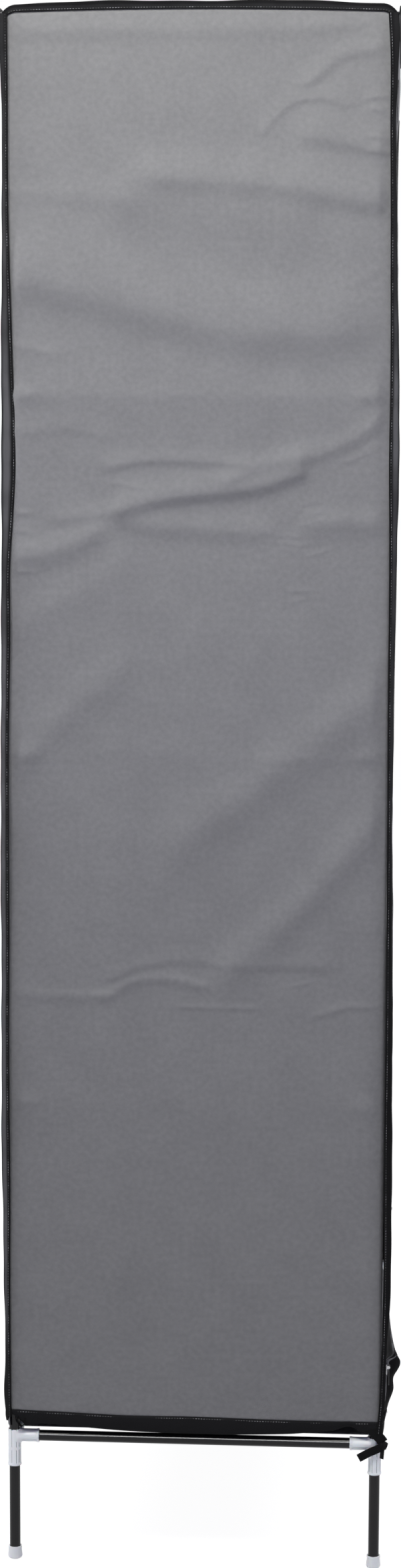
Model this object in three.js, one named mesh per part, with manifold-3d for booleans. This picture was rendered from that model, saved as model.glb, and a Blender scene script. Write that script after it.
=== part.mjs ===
// A portable fabric wardrobe: steel tubes in moulded sockets, under a sewn cloth cover.
// Millimetres, +Z up. The doorway faces -Y, and the origin lies on the floor under the middle.
import * as THREE from "three";
import { mergeVertices } from "three/addons/utils/BufferGeometryUtils.js";
import Module from "manifold-3d";

const wasm = await Module();
wasm.setup();

// Driving dimensions of the frame
const frameWidth = 700; // between the uprights' centres, from end to end
const frameDepth = 420; // between the uprights' centres, from front to back
const lowestRail = 150; // from the floor to the centre of the lowest rails
const tierPitch = 402; // from one level of rails to the next
const tubeDiameter = 12.5;
const tubeWall = 0.7;

// Driving dimensions of the moulded sockets
const socketWall = 1.45;
const socketFit = 0.3; // between a tube and the bore that holds it
const armLength = 29; // from the upright's centre to the mouth of an arm
const sleeveDrop = 36; // of the corner sockets, from the rails' centre to the mouth
const couplerReach = 24; // of the middle sockets, above and below the rails' centre
const insertDepth = 20; // of a tube in a corner socket's sleeve
const stopThickness = 2; // of the web that two tubes in one sleeve rest on
const mouthChamfer = 0.8;
const gussetRadius = 5;
const gussetThickness = 4;

// Driving dimensions of the feet
const capWall = 1.9;
const capFloor = 3;
const capHeight = 15;
const capRounding = 3.5;

// Driving dimensions of the hanging rod
const rodDrop = 48; // from the top depth rails' centre to the rod's
const hangerWidth = 16;
const hangerWall = 1.65;
const hangerWeb = 5;
const cupLength = 22;
const cupFloor = 3;

// Driving dimensions of the cloth cover
const seatGap = 0.3; // between pieces that touch
const clothThickness = 1.2;
const coverSlack = 2; // of the front and back cloth off the sockets
const hemClearance = 1.7; // of the cover's lower edge above the lowest sockets
const hemHeight = 20;
const hemThickness = 2.4;
const hemLift = 8; // of the end's lower edge beside its corners
const bindingProud = 3; // of the tape past the upright corner it binds
const bindingInset = 10; // of the tape over the end's face
const seamRise = 2; // of the top seam above the top cloth
const bindingRise = 9; // of the tape above that seam
const bindingArch = 3.5; // of the top tape, in the middle of the end
const bindingThickness = 2.8;
const bindingEdge = 0.5; // over which the tape steps down to the cloth
const headerDrop = 68; // of the cloth above the doorway
const stripWidth = 25; // of the cloth beside the doorway
const endFoldHeight = 6.5;
const backFoldHeight = 4.5;
const doorFoldHeight = 4;
const topSag = 8;

// Driving dimensions of the shelves
const shelfSag = 12;
const sleeveClearance = 1; // between a shelf's sleeve and a socket's mouth

// Driving dimensions of the zips
const coilRadius = 1;
const zipGap = 2.4; // between the two rows of the coil
const zipPlay = 0.3;
const sliderPlate = 1;
const sliderWidth = 9;
const sliderLength = 12;
const sliderRise = 55; // of the slider above the hem when the door is closed
const sliderPost = 1.6;
const sliderPostLength = 4;
const pinRadius = 0.6;
const eyeWall = 0.8;
const eyeLength = 3.4;
const earThickness = 1;
const tabThickness = 1.2;
const tabLength = 22;
const tabWidth = 5.6;
const tabShoulderDrop = 1.1;
const tabSlotWidth = 2.2;
const tabSlotLength = 9;
const sliderTaperShare = 0.7;

// Driving dimensions of the ribbon ties
const ribbonWidth = 7;
const ribbonThickness = 1;
const knotRadius = 4.6;
const longTail = 37;
const longTailSlope = 0.6; // radians below level
const shortTail = 20;

// How finely round and folded forms are drawn
const tubeSides = 12;
const arcSteps = 3;
const endColumns = 12;
const endRows = 20;
const backColumns = 10;
const backRows = 12;
const doorColumns = 10;
const doorRows = 12;
const topColumns = 6;
const topRows = 4;
const sagSteps = 8;
const knotSides = 8;
const knotRings = 6;
const cutOverrun = 1; // of a cutting body past the face it cuts

// Sizes that follow from the driving dimensions
const tiers = ["bottom", "shelf", "middle", "upper", "top"];
const levelOf = (tier) => lowestRail + tiers.indexOf(tier) * tierPitch;
const topRail = levelOf("top");
const halfWidth = frameWidth / 2;
const halfDepth = frameDepth / 2;
const tubeRadius = tubeDiameter / 2;
const boreRadius = tubeRadius + socketFit;
const socketRadius = boreRadius + socketWall;
const railEnd = socketRadius + seatGap; // of a rail, from the upright's centre
const uprightStop = sleeveDrop - insertDepth; // below the rails' centre
const endInner = halfWidth + socketRadius + seatGap;
const faceInner = halfDepth + socketRadius + seatGap + coverSlack;
const faceOuter = faceInner + clothThickness;
const topInner = topRail + socketRadius + seatGap;
const topOuter = topInner + clothThickness;
const hemBottom = lowestRail + socketRadius + hemClearance;
const hemTop = hemBottom + hemHeight;
const sliderRest = hemTop + sliderRise;
const panelHalf = endInner - seatGap; // of the panels between the two ends
const panelTop = topInner - seatGap;
const headerBottom = topOuter - headerDrop;
const zipLine = panelHalf - stripWidth;
const doorHalf = zipLine - zipGap / 2;
const zipPlane = (faceInner + faceOuter) / 2;

const finishes = {
  steel: new THREE.MeshStandardMaterial({ color: 0x1c1b1d, roughness: 0.35, metalness: 0.6 }),
  socket: new THREE.MeshStandardMaterial({ color: 0xd3d6dc, roughness: 0.45, metalness: 0 }),
  cloth: new THREE.MeshStandardMaterial({ color: 0x77777c, roughness: 0.9, metalness: 0 }),
  binding: new THREE.MeshStandardMaterial({ color: 0x1f1f22, roughness: 0.85, metalness: 0 }),
  zip: new THREE.MeshStandardMaterial({ color: 0xb9bbbf, roughness: 0.3, metalness: 0.9 }),
};

const group = new THREE.Group();

function add(name, geometry, finish, place = [0, 0, 0]) {
  const mesh = new THREE.Mesh(geometry, finish);
  mesh.name = name;
  mesh.position.set(...place);
  group.add(mesh);
  return mesh;
}

// A closed geometry as a body that can be joined and cut
function body(geometry) {
  const bare = geometry.clone();
  bare.deleteAttribute("normal");
  bare.deleteAttribute("uv");
  const merged = mergeVertices(bare);
  return new wasm.Manifold(
    new wasm.Mesh({
      numProp: 3,
      vertProperties: merged.attributes.position.array,
      triVerts: new Uint32Array(merged.index.array),
    }),
  );
}

function geometryOf(solid) {
  const mesh = solid.getMesh();
  const geometry = new THREE.BufferGeometry();
  geometry.setAttribute("position", new THREE.BufferAttribute(mesh.vertProperties, 3));
  geometry.setIndex(new THREE.BufferAttribute(mesh.triVerts, 1));
  geometry.computeVertexNormals();
  return geometry;
}

function joined(geometries) {
  return geometries.map(body).reduce((whole, piece) => whole.add(piece));
}

function cut(solid, geometries) {
  return geometries.map(body).reduce((whole, piece) => whole.subtract(piece), solid);
}

// A profile of [radius, height] pairs turned about Z
function turned(profile) {
  const points = profile.map(([radius, height]) => new THREE.Vector2(radius, height));
  return new THREE.LatheGeometry(points, tubeSides).rotateX(Math.PI / 2);
}

function aimed(geometry, axis) {
  if (axis === "x") return geometry.rotateY(Math.PI / 2);
  if (axis === "y") return geometry.rotateX(-Math.PI / 2);
  return geometry;
}

// A solid bar along an axis, from one place on it to another
function bar(axis, from, to, radius) {
  const low = Math.min(from, to);
  const high = Math.max(from, to);
  return aimed(turned([[0, low], [radius, low], [radius, high], [0, high]]), axis);
}

// The same along Z, with the edges of both ends chamfered
function sleeveBar(low, high, radius) {
  return turned([
    [0, low],
    [radius - mouthChamfer, low],
    [radius, low + mouthChamfer],
    [radius, high - mouthChamfer],
    [radius - mouthChamfer, high],
    [0, high],
  ]);
}

function pipe(axis, from, to, outer, inner) {
  const low = Math.min(from, to);
  const high = Math.max(from, to);
  const profile = [
    [outer, low],
    [outer, high],
    [inner, high],
    [inner, low],
    [outer, low],
  ];
  return aimed(turned(profile), axis);
}

function steelTube(axis, from, to) {
  return pipe(axis, from, to, tubeRadius, tubeRadius - tubeWall);
}

// A rib with a hollow edge, in the corner between an arm along +X and the sleeve under it
function gusset(angle) {
  const start = socketRadius - mouthChamfer;
  const reach = mouthChamfer + gussetRadius;
  const outline = new THREE.Shape();
  outline.moveTo(0, 0);
  outline.lineTo(reach, 0);
  outline.lineTo(reach, mouthChamfer);
  outline.absarc(reach, reach, gussetRadius, -Math.PI / 2, -Math.PI, true);
  outline.lineTo(0, reach);
  outline.closePath();
  const rib = new THREE.ExtrudeGeometry(outline, {
    depth: gussetThickness,
    bevelEnabled: false,
    curveSegments: arcSteps,
  });
  rib.translate(start, start, -gussetThickness / 2);
  return rib.rotateX(-Math.PI / 2).rotateZ(angle);
}

// A bar along +X from the upright's centre, chamfered at its mouth and turned about Z
function armAt(angle, length = armLength) {
  const profile = [
    [0, 0],
    [socketRadius, 0],
    [socketRadius, length - mouthChamfer],
    [socketRadius - mouthChamfer, length],
    [0, length],
  ];
  return aimed(turned(profile), "x").rotateZ(angle);
}

function armBore(angle) {
  return bar("x", socketRadius, armLength + cutOverrun, boreRadius).rotateZ(angle);
}

// Directions of the arms that point from a corner towards the middle of the frame
function armAngles(sideX, sideY) {
  const across = sideX > 0 ? Math.PI : 0;
  const deep = sideY > 0 ? -Math.PI / 2 : Math.PI / 2;
  return { across, deep };
}

// The lowest sockets take a leg from below and an upright from above
function bottomConnector(sideX, sideY) {
  const { across, deep } = armAngles(sideX, sideY);
  const sleeve = sleeveBar(-sleeveDrop, socketRadius, socketRadius);
  const angles = [across, deep];
  const whole = joined([sleeve, ...angles.map((a) => armAt(a)), ...angles.map(gusset)]);
  const legBore = bar("z", -sleeveDrop - cutOverrun, -uprightStop, boreRadius);
  const webTop = -uprightStop + stopThickness;
  const uprightBore = bar("z", webTop, socketRadius + cutOverrun, boreRadius);
  return geometryOf(cut(whole, [legBore, uprightBore, ...angles.map(armBore)]));
}

// The top sockets close over the upright
function topConnector(sideX, sideY) {
  const { across, deep } = armAngles(sideX, sideY);
  const sleeve = sleeveBar(-sleeveDrop, socketRadius, socketRadius);
  const angles = [across, deep];
  const whole = joined([sleeve, ...angles.map((a) => armAt(a)), ...angles.map(gusset)]);
  const uprightBore = bar("z", -sleeveDrop - cutOverrun, -uprightStop, boreRadius);
  return geometryOf(cut(whole, [uprightBore, ...angles.map(armBore)]));
}

// A middle rung: two sockets on the uprights and the depth rail between them
function rung(sideX, hasShelf, hasWeb) {
  const sleeves = [];
  const bores = [];
  for (const sideY of [-1, 1]) {
    const { across, deep } = armAngles(sideX, sideY);
    const angles = hasShelf ? [across, deep] : [deep];
    const parts = [
      sleeveBar(-couplerReach, couplerReach, socketRadius),
      ...angles.map((a) => armAt(a)),
      ...angles.map(gusset),
    ];
    sleeves.push(...parts.map((part) => part.translate(0, sideY * halfDepth, 0)));
    const web = hasWeb ? stopThickness / 2 : 0;
    const above = bar("z", web, couplerReach + cutOverrun, boreRadius);
    const below = bar("z", -couplerReach - cutOverrun, -web, boreRadius);
    const uprightBores = hasWeb
      ? [above, below]
      : [bar("z", -couplerReach - cutOverrun, couplerReach + cutOverrun, boreRadius)];
    const shelfBores = hasShelf ? [armBore(across)] : [];
    const own = [...uprightBores, ...shelfBores];
    bores.push(...own.map((bore) => bore.translate(0, sideY * halfDepth, 0)));
  }
  const railReach = halfDepth - tubeRadius;
  const rail = bar("y", -railReach, railReach, tubeRadius);
  const hollowReach = halfDepth - tubeRadius / 2;
  const hollow = bar("y", -hollowReach, hollowReach, tubeRadius - tubeWall);
  return geometryOf(cut(joined([...sleeves, rail]), [...bores, hollow]));
}

function footCap() {
  const outer = boreRadius + capWall;
  const rounded = [];
  for (let step = 0; step <= arcSteps; step += 1) {
    const turn = (step / arcSteps) * (Math.PI / 2);
    const radius = outer - capRounding + capRounding * Math.sin(turn);
    rounded.push([radius, capRounding - capRounding * Math.cos(turn)]);
  }
  return turned([
    [0, 0],
    ...rounded,
    [outer, capHeight],
    [boreRadius, capHeight],
    [boreRadius, capFloor],
    [0, capFloor],
  ]);
}

// A ring round the top depth rail, and a cup under it that takes the end of the hanging rod
function rodHanger(sideX) {
  const ringRadius = boreRadius + hangerWall;
  const ring = bar("y", -hangerWidth / 2, hangerWidth / 2, ringRadius);
  const cup = armAt(sideX > 0 ? Math.PI : 0, cupLength).translate(0, 0, -rodDrop);
  const webHeight = rodDrop - socketRadius / 2 - boreRadius;
  const web = new THREE.BoxGeometry(hangerWeb, hangerWidth - hangerWeb, webHeight);
  web.translate((-sideX * hangerWeb) / 2, 0, -boreRadius - webHeight / 2);
  const railBore = bar("y", -hangerWidth / 2 - cutOverrun, hangerWidth / 2 + cutOverrun, boreRadius);
  const rodBore = bar("x", -sideX * cupFloor, -sideX * (cupLength + cutOverrun), boreRadius);
  rodBore.translate(0, 0, -rodDrop);
  return geometryOf(cut(joined([ring, web, cup]), [railBore, rodBore]));
}

// Evenly spaced lines between two places, with both ends
function spaced(from, to, count) {
  return Array.from({ length: count + 1 }, (_, i) => from + ((to - from) * i) / count);
}

// A closed sheet on a grid. place(u, v, skin) gives a point, with skin 0 inside and 1 outside.
function sheet(us, vs, place) {
  const positions = [];
  const index = [];
  const across = us.length;
  const up = vs.length;
  for (const skin of [0, 1]) {
    for (const v of vs) {
      for (const u of us) positions.push(...place(u, v, skin));
    }
  }
  const at = (i, j, skin) => skin * across * up + j * across + i;
  const quad = (a, b, c, d) => index.push(a, b, c, a, c, d);
  for (let j = 0; j < up - 1; j += 1) {
    for (let i = 0; i < across - 1; i += 1) {
      quad(at(i, j, 1), at(i + 1, j, 1), at(i + 1, j + 1, 1), at(i, j + 1, 1));
      quad(at(i, j + 1, 0), at(i + 1, j + 1, 0), at(i + 1, j, 0), at(i, j, 0));
    }
  }
  for (let i = 0; i < across - 1; i += 1) {
    quad(at(i, 0, 0), at(i + 1, 0, 0), at(i + 1, 0, 1), at(i, 0, 1));
    quad(at(i + 1, up - 1, 0), at(i, up - 1, 0), at(i, up - 1, 1), at(i + 1, up - 1, 1));
  }
  for (let j = 0; j < up - 1; j += 1) {
    quad(at(0, j + 1, 0), at(0, j, 0), at(0, j, 1), at(0, j + 1, 1));
    quad(at(across - 1, j, 0), at(across - 1, j + 1, 0), at(across - 1, j + 1, 1), at(across - 1, j, 1));
  }
  const geometry = new THREE.BufferGeometry();
  geometry.setAttribute("position", new THREE.Float32BufferAttribute(positions, 3));
  geometry.setIndex(index);
  geometry.computeVertexNormals();
  return geometry;
}

// A soft ridge at a place on a panel: each fold is
// [place across, place up, half length, half width, slope, height], all as shares
function foldAt(across, up, folds) {
  return folds.reduce((sum, [x, z, length, width, slope, height]) => {
    const along = (across - x) / length;
    const off = (up - z - slope * (across - x)) / width;
    return sum + height * Math.exp(-along * along - off * off);
  }, 0);
}

const endFoldShares = [
  [0.035, 0.684, 0.42, 0.012, 0.0105, 1],
  [-0.18, 0.803, 0.7, 0.03, -0.05, 0.75],
  [0.63, 0.962, 0.3, 0.012, 0.1, 0.6],
  [0.32, 0.905, 0.5, 0.02, -0.025, 0.45],
  [-0.74, 0.638, 0.25, 0.012, -0.033, 0.6],
  [0.56, 0.63, 0.2, 0.03, 0, 0.35],
  [0.386, 0.4975, 0.35, 0.018, 0.065, 0.4],
  [0.035, 0.337, 0.45, 0.014, 0.01, 0.6],
  [0.35, 0.367, 0.25, 0.018, 0.097, 0.35],
  [0, 0.116, 0.7, 0.06, 0, 0.45],
];

const backFoldShares = [
  [-0.3, 0.8, 0.6, 0.04, 0.03, 1],
  [0.35, 0.55, 0.5, 0.04, -0.04, 0.8],
  [-0.15, 0.3, 0.7, 0.045, 0.03, 0.9],
];

const doorFoldShares = [
  [-0.35, 0.75, 0.5, 0.045, 0.05, 1],
  [0.4, 0.5, 0.45, 0.045, -0.05, 0.9],
  [-0.1, 0.22, 0.6, 0.045, 0.03, 0.8],
];

// How far the hem of an end is drawn up, as shares of half the end's width
const liftPlaceShare = 0.75;
const liftWidthShare = 0.22;

// One end of the cover, hemmed below, with the binding tape over its corners
function endPanel(sideX) {
  const halfFace = faceOuter - bindingInset;
  const topFace = topOuter + seamRise;
  const halfCloth = halfFace - bindingEdge;
  const reach = faceOuter + bindingProud;
  const us = [-reach, -halfFace, ...spaced(-halfCloth, halfCloth, endColumns), halfFace, reach];
  const clothRows = spaced(hemTop, topFace - bindingEdge, endRows);
  const vs = [hemBottom, hemTop - bindingEdge, ...clothRows, topFace, topFace + bindingRise];
  return sheet(us, vs, (u, v, skin) => {
    const across = u / halfFace;
    const up = (v - hemBottom) / (topFace - hemBottom);
    const bound = Math.abs(u) >= halfFace || v >= topFace;
    const hemmed = v < hemTop;
    const thickness = bound ? bindingThickness : hemmed ? hemThickness : clothThickness;
    const loose = bound || hemmed ? 0 : Math.max(0, 1 - across ** 2);
    const fold = loose * endFoldHeight * Math.min(1, foldAt(across, up, endFoldShares));
    const off = (Math.abs(across) - liftPlaceShare) / liftWidthShare;
    const lift = v > hemBottom ? 0 : hemLift * Math.exp(-off * off);
    const arch = v < topFace ? 0 : bindingArch * Math.max(0, 1 - across ** 2);
    return [(endInner + fold + skin * thickness) * sideX, u * sideX, v + lift + arch];
  });
}

// How far a panel of the front or back stands off where it is loose
function faceFold(across, up, height, folds) {
  const loose = Math.max(0, 1 - across ** 4) * Math.max(0, 4 * up * (1 - up));
  return loose * height * Math.min(1, foldAt(across, up, folds));
}

function backPanel() {
  const us = spaced(-panelHalf, panelHalf, backColumns);
  const vs = [hemBottom, hemTop - bindingEdge, ...spaced(hemTop, panelTop, backRows)];
  return sheet(us, vs, (u, v, skin) => {
    const up = (v - hemBottom) / (panelTop - hemBottom);
    const thickness = v < hemTop ? hemThickness : clothThickness;
    const fold = faceFold(u / panelHalf, up, backFoldHeight, backFoldShares);
    return [-u, faceInner + fold + skin * thickness, v];
  });
}

// The top sags inside the sockets, and its front and back seams are bound
function topPanel() {
  const reach = faceOuter + bindingProud;
  const halfFace = faceOuter - bindingProud;
  const sagWide = halfWidth - armLength;
  const sagDeep = halfDepth - armLength;
  const us = [-panelHalf, ...spaced(-sagWide, sagWide, topColumns), panelHalf];
  const inner = spaced(-sagDeep, sagDeep, topRows);
  const front = [-reach, -halfFace, -halfFace + bindingEdge];
  const back = front.map((place) => -place).reverse();
  const vs = [...front, ...inner, ...back];
  return sheet(us, vs, (u, v, skin) => {
    const thickness = Math.abs(v) >= halfFace ? bindingThickness : clothThickness;
    const wide = Math.max(0, 1 - (u / sagWide) ** 2);
    const deep = Math.max(0, 1 - (v / sagDeep) ** 2);
    return [u, v, topInner - topSag * wide * deep + skin * thickness];
  });
}

function frontHeader() {
  return sheet([-panelHalf, panelHalf], [headerBottom, panelTop], (u, v, skin) => [
    u,
    -faceInner - skin * clothThickness,
    v,
  ]);
}

// How far a row of the zip's coil stands past the cloth that carries it, on each face
const coilProud = coilRadius - clothThickness / 2;

// A narrow strip beside the doorway, with half of the zip on its inner edge
function frontStrip(sideX) {
  const edge = zipLine + zipGap / 2;
  const coilEnd = edge + 2 * coilRadius;
  const places = [edge, coilEnd, coilEnd + bindingEdge, panelHalf];
  const us = sideX > 0 ? places : places.map((place) => -place).reverse();
  const vs = [hemBottom, hemTop - bindingEdge, hemTop, headerBottom - seatGap];
  return sheet(us, vs, (u, v, skin) => {
    const hemmed = v < hemTop;
    const coiled = !hemmed && Math.abs(u) <= coilEnd;
    const inner = coiled ? faceInner - coilProud : faceInner;
    const thickness = coiled ? 2 * coilRadius : hemmed ? hemThickness : clothThickness;
    return [u, -inner - skin * thickness, v];
  });
}

// The door hangs from the header between the zips, and has the other half of each
function doorPanel() {
  const low = hemTop + seatGap;
  const high = headerBottom - seatGap;
  const coilStart = doorHalf - 2 * coilRadius;
  const halfCloth = coilStart - bindingEdge;
  const us = [-doorHalf, -coilStart, ...spaced(-halfCloth, halfCloth, doorColumns), coilStart, doorHalf];
  return sheet(us, spaced(low, high, doorRows), (u, v, skin) => {
    const coiled = Math.abs(u) >= coilStart;
    const across = Math.min(1, Math.abs(u) / halfCloth) * Math.sign(u);
    const fold = faceFold(across, (v - low) / (high - low), doorFoldHeight, doorFoldShares);
    const inner = coiled ? faceInner - coilProud : faceInner + fold;
    const thickness = coiled ? 2 * coilRadius : clothThickness;
    return [u, -inner - skin * thickness, v];
  });
}

function doorHem() {
  return sheet([-doorHalf, doorHalf], [hemBottom, hemTop], (u, v, skin) => [
    u,
    -faceInner - skin * hemThickness,
    v,
  ]);
}

// A cloth shelf: sleeves round the front and back rails, and the sagging cloth between them
function shelf() {
  const reach = halfWidth - armLength - sleeveClearance;
  const inner = tubeRadius + seatGap;
  const outer = inner + clothThickness;
  const sleeves = [-1, 1].map((sideY) =>
    pipe("x", -reach, reach, outer, inner).translate(0, sideY * halfDepth, 0),
  );
  const clothHalf = halfDepth - inner - clothThickness / 2;
  const sagAt = (y) => -shelfSag * (1 - (y / clothHalf) ** 2);
  const vs = [-reach, reach];
  const us = spaced(-clothHalf, clothHalf, sagSteps);
  const cloth = sheet(us, vs, (u, v, skin) => [
    -v,
    u,
    sagAt(u) + (skin - 1 / 2) * clothThickness,
  ]);
  return geometryOf(joined([...sleeves, cloth]));
}

// An outline in X and Z, given depth from the front face at y = front towards the back
function upright(outline, front, thickness) {
  const plate = new THREE.ExtrudeGeometry(outline, {
    depth: thickness,
    bevelEnabled: false,
    curveSegments: arcSteps,
  });
  return plate.rotateX(Math.PI / 2).translate(0, front + thickness, 0);
}

const eyeRadius = pinRadius + zipPlay + eyeWall;
const sliderFront = coilRadius + zipPlay + sliderPlate;
const pinPlace = sliderFront + zipPlay + eyeRadius; // in front of the zip's own plane
const pinHeight = sliderLength / 2 - 2 * eyeRadius; // above the slider's middle

// The slider's two plates and the post between the coils, with ears for the pull's pin
function zipSlider() {
  const narrow = (sliderWidth / 2) * sliderTaperShare;
  const wide = sliderWidth / 2;
  const half = sliderLength / 2;
  const outline = new THREE.Shape();
  outline.moveTo(-wide, -half + sliderPlate);
  outline.quadraticCurveTo(-wide, -half, -wide + sliderPlate, -half);
  outline.lineTo(wide - sliderPlate, -half);
  outline.quadraticCurveTo(wide, -half, wide, -half + sliderPlate);
  outline.lineTo(narrow, half);
  outline.lineTo(-narrow, half);
  outline.closePath();
  const front = upright(outline, -sliderFront, sliderPlate);
  const back = upright(outline, coilRadius + zipPlay, sliderPlate);
  const postDepth = 2 * coilRadius + 2 * zipPlay + sliderPlate;
  const post = new THREE.BoxGeometry(sliderPost, postDepth, sliderPostLength);
  post.translate(0, 0, -half + sliderPostLength / 2);
  const earInner = eyeLength / 2 + zipPlay;
  const ears = [-1, 1].flatMap((side) => {
    const round = bar("x", side * earInner, side * (earInner + earThickness), eyeRadius);
    const rootDepth = pinPlace - sliderFront + sliderPlate / 2;
    const root = new THREE.BoxGeometry(earThickness, rootDepth, 2 * eyeRadius);
    const middle = side * (earInner + earThickness / 2);
    return [
      round.translate(0, -pinPlace, pinHeight),
      root.translate(middle, rootDepth / 2 - pinPlace, pinHeight),
    ];
  });
  const pin = bar("x", -earInner - earThickness / 2, earInner + earThickness / 2, pinRadius);
  return geometryOf(joined([front, post, back, ...ears, pin.translate(0, -pinPlace, pinHeight)]));
}

// The pull hangs on the slider's pin. Its own origin is on the pin's axis.
function pullTab() {
  const neck = eyeRadius + tabShoulderDrop;
  const half = tabWidth / 2;
  const neckHalf = eyeLength / 2;
  const outline = new THREE.Shape();
  outline.moveTo(-neckHalf, 0);
  outline.lineTo(-neckHalf, -neck);
  outline.lineTo(-half, -neck - tabShoulderDrop);
  outline.lineTo(-half, -tabLength + half);
  outline.absarc(0, -tabLength + half, half, Math.PI, 2 * Math.PI, false);
  outline.lineTo(half, -neck - tabShoulderDrop);
  outline.lineTo(neckHalf, -neck);
  outline.lineTo(neckHalf, 0);
  outline.closePath();
  const slotHalf = tabSlotWidth / 2;
  const slotLow = -tabLength + half;
  const slotHigh = slotLow + tabSlotLength;
  const slot = new THREE.Path();
  slot.moveTo(-slotHalf, slotLow);
  slot.lineTo(-slotHalf, slotHigh);
  slot.absarc(0, slotHigh, slotHalf, Math.PI, 0, true);
  slot.lineTo(slotHalf, slotLow);
  slot.absarc(0, slotLow, slotHalf, 0, -Math.PI, true);
  outline.holes.push(slot);
  const plate = upright(outline, -tabThickness / 2, tabThickness);
  const eye = bar("x", -neckHalf, neckHalf, eyeRadius);
  const hole = bar("x", -neckHalf - cutOverrun, neckHalf + cutOverrun, pinRadius + zipPlay);
  return geometryOf(cut(joined([plate, eye]), [hole]));
}

// A ribbon sewn to the hem's corner and knotted round the socket, with its two tails
function cornerTie(sideX) {
  const knotX = halfWidth + socketRadius - knotRadius / 2;
  const knotY = -(halfDepth + socketRadius + seatGap + knotRadius);
  const knot = new THREE.SphereGeometry(knotRadius, knotSides, knotRings);
  knot.translate(sideX * knotX, knotY, lowestRail);
  const tail = new THREE.BoxGeometry(ribbonThickness, longTail, ribbonWidth);
  tail.translate(0, longTail / 2, 0).rotateX(-longTailSlope);
  const flat = halfWidth + socketRadius + seatGap + ribbonThickness / 2;
  tail.translate(sideX * flat, knotY, lowestRail);
  const drop = new THREE.BoxGeometry(ribbonWidth, ribbonThickness, shortTail);
  drop.translate(sideX * knotX, knotY + knotRadius / 2, lowestRail - shortTail / 2);
  return geometryOf(joined([knot, tail, drop]));
}

// The frame, from the floor up
const sides = [
  ["left", -1],
  ["right", 1],
];
const faces = [
  ["front", -1],
  ["back", 1],
];
const railReach = halfDepth - railEnd;
const widthReach = halfWidth - railEnd;

for (const [side, sideX] of sides) {
  for (const [face, sideY] of faces) {
    const corner = `${face}_${side}`;
    const x = sideX * halfWidth;
    const y = sideY * halfDepth;
    const middle = levelOf("middle");
    const webTop = lowestRail - uprightStop + stopThickness;
    const legTop = lowestRail - uprightStop - seatGap;
    const jointGap = stopThickness / 2 + seatGap;
    add(`foot_cap_${corner}`, footCap(), finishes.socket, [x, y, 0]);
    add(`leg_tube_${corner}`, steelTube("z", capFloor + seatGap, legTop), finishes.steel, [x, y, 0]);
    add(`bottom_connector_${corner}`, bottomConnector(sideX, sideY), finishes.socket, [x, y, lowestRail]);
    const lowerTube = steelTube("z", webTop + seatGap, middle - jointGap);
    add(`upright_lower_${corner}`, lowerTube, finishes.steel, [x, y, 0]);
    const upperTube = steelTube("z", middle + jointGap, topRail - uprightStop - seatGap);
    add(`upright_upper_${corner}`, upperTube, finishes.steel, [x, y, 0]);
    add(`top_connector_${corner}`, topConnector(sideX, sideY), finishes.socket, [x, y, topRail]);
  }
  const x = sideX * halfWidth;
  const depthRail = () => steelTube("y", -railReach, railReach);
  add(`bottom_depth_rail_${side}`, depthRail(), finishes.steel, [x, 0, lowestRail]);
  add(`top_depth_rail_${side}`, depthRail(), finishes.steel, [x, 0, topRail]);
  add(`shelf_rung_${side}`, rung(sideX, true, false), finishes.socket, [x, 0, levelOf("shelf")]);
  add(`middle_rung_${side}`, rung(sideX, false, true), finishes.socket, [x, 0, levelOf("middle")]);
  add(`upper_rung_${side}`, rung(sideX, false, false), finishes.socket, [x, 0, levelOf("upper")]);
  add(`rod_hanger_${side}`, rodHanger(sideX), finishes.socket, [x, 0, topRail]);
}

for (const [face, sideY] of faces) {
  for (const tier of ["bottom", "shelf", "top"]) {
    const place = [0, sideY * halfDepth, levelOf(tier)];
    add(`${tier}_width_rail_${face}`, steelTube("x", -widthReach, widthReach), finishes.steel, place);
  }
}

const rodReach = halfWidth - cupFloor - seatGap;
add("hanging_rod", steelTube("x", -rodReach, rodReach), finishes.steel, [0, 0, topRail - rodDrop]);

const shelfTiers = { lower: "bottom", upper: "shelf" };
for (const [shelfName, tier] of Object.entries(shelfTiers)) {
  add(`${shelfName}_shelf_cloth`, shelf(), finishes.cloth, [0, 0, levelOf(tier)]);
}

// The cover
for (const [side, sideX] of sides) {
  add(`end_panel_${side}`, endPanel(sideX), finishes.cloth);
  add(`front_strip_${side}`, frontStrip(sideX), finishes.cloth);
  add(`corner_tie_${side}`, cornerTie(sideX), finishes.binding);
}
add("back_panel", backPanel(), finishes.cloth);
add("top_panel", topPanel(), finishes.cloth);
add("front_header", frontHeader(), finishes.cloth);
add("door_panel", doorPanel(), finishes.cloth);
add("door_hem", doorHem(), finishes.binding);

// The zips
for (const [side, sideX] of sides) {
  const place = [sideX * zipLine, -zipPlane, sliderRest];
  const hung = [sideX * zipLine, -zipPlane - pinPlace, sliderRest + pinHeight];
  add(`zip_slider_${side}`, zipSlider(), finishes.zip, place);
  add(`pull_tab_${side}`, pullTab(), finishes.zip, hung);
}

export default group;
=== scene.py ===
"""A portable fabric wardrobe: enamelled steel tubes in moulded sockets, under a sewn cloth cover.

Metres, +Z up. The doorway faces -Y, and the end that the photograph shows faces -X. The pieces
follow each other as the wardrobe is put together, from the feet up to the cover and its zips.
"""

import math

import bmesh
import bpy
import numpy as np
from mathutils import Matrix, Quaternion, Vector


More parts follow.
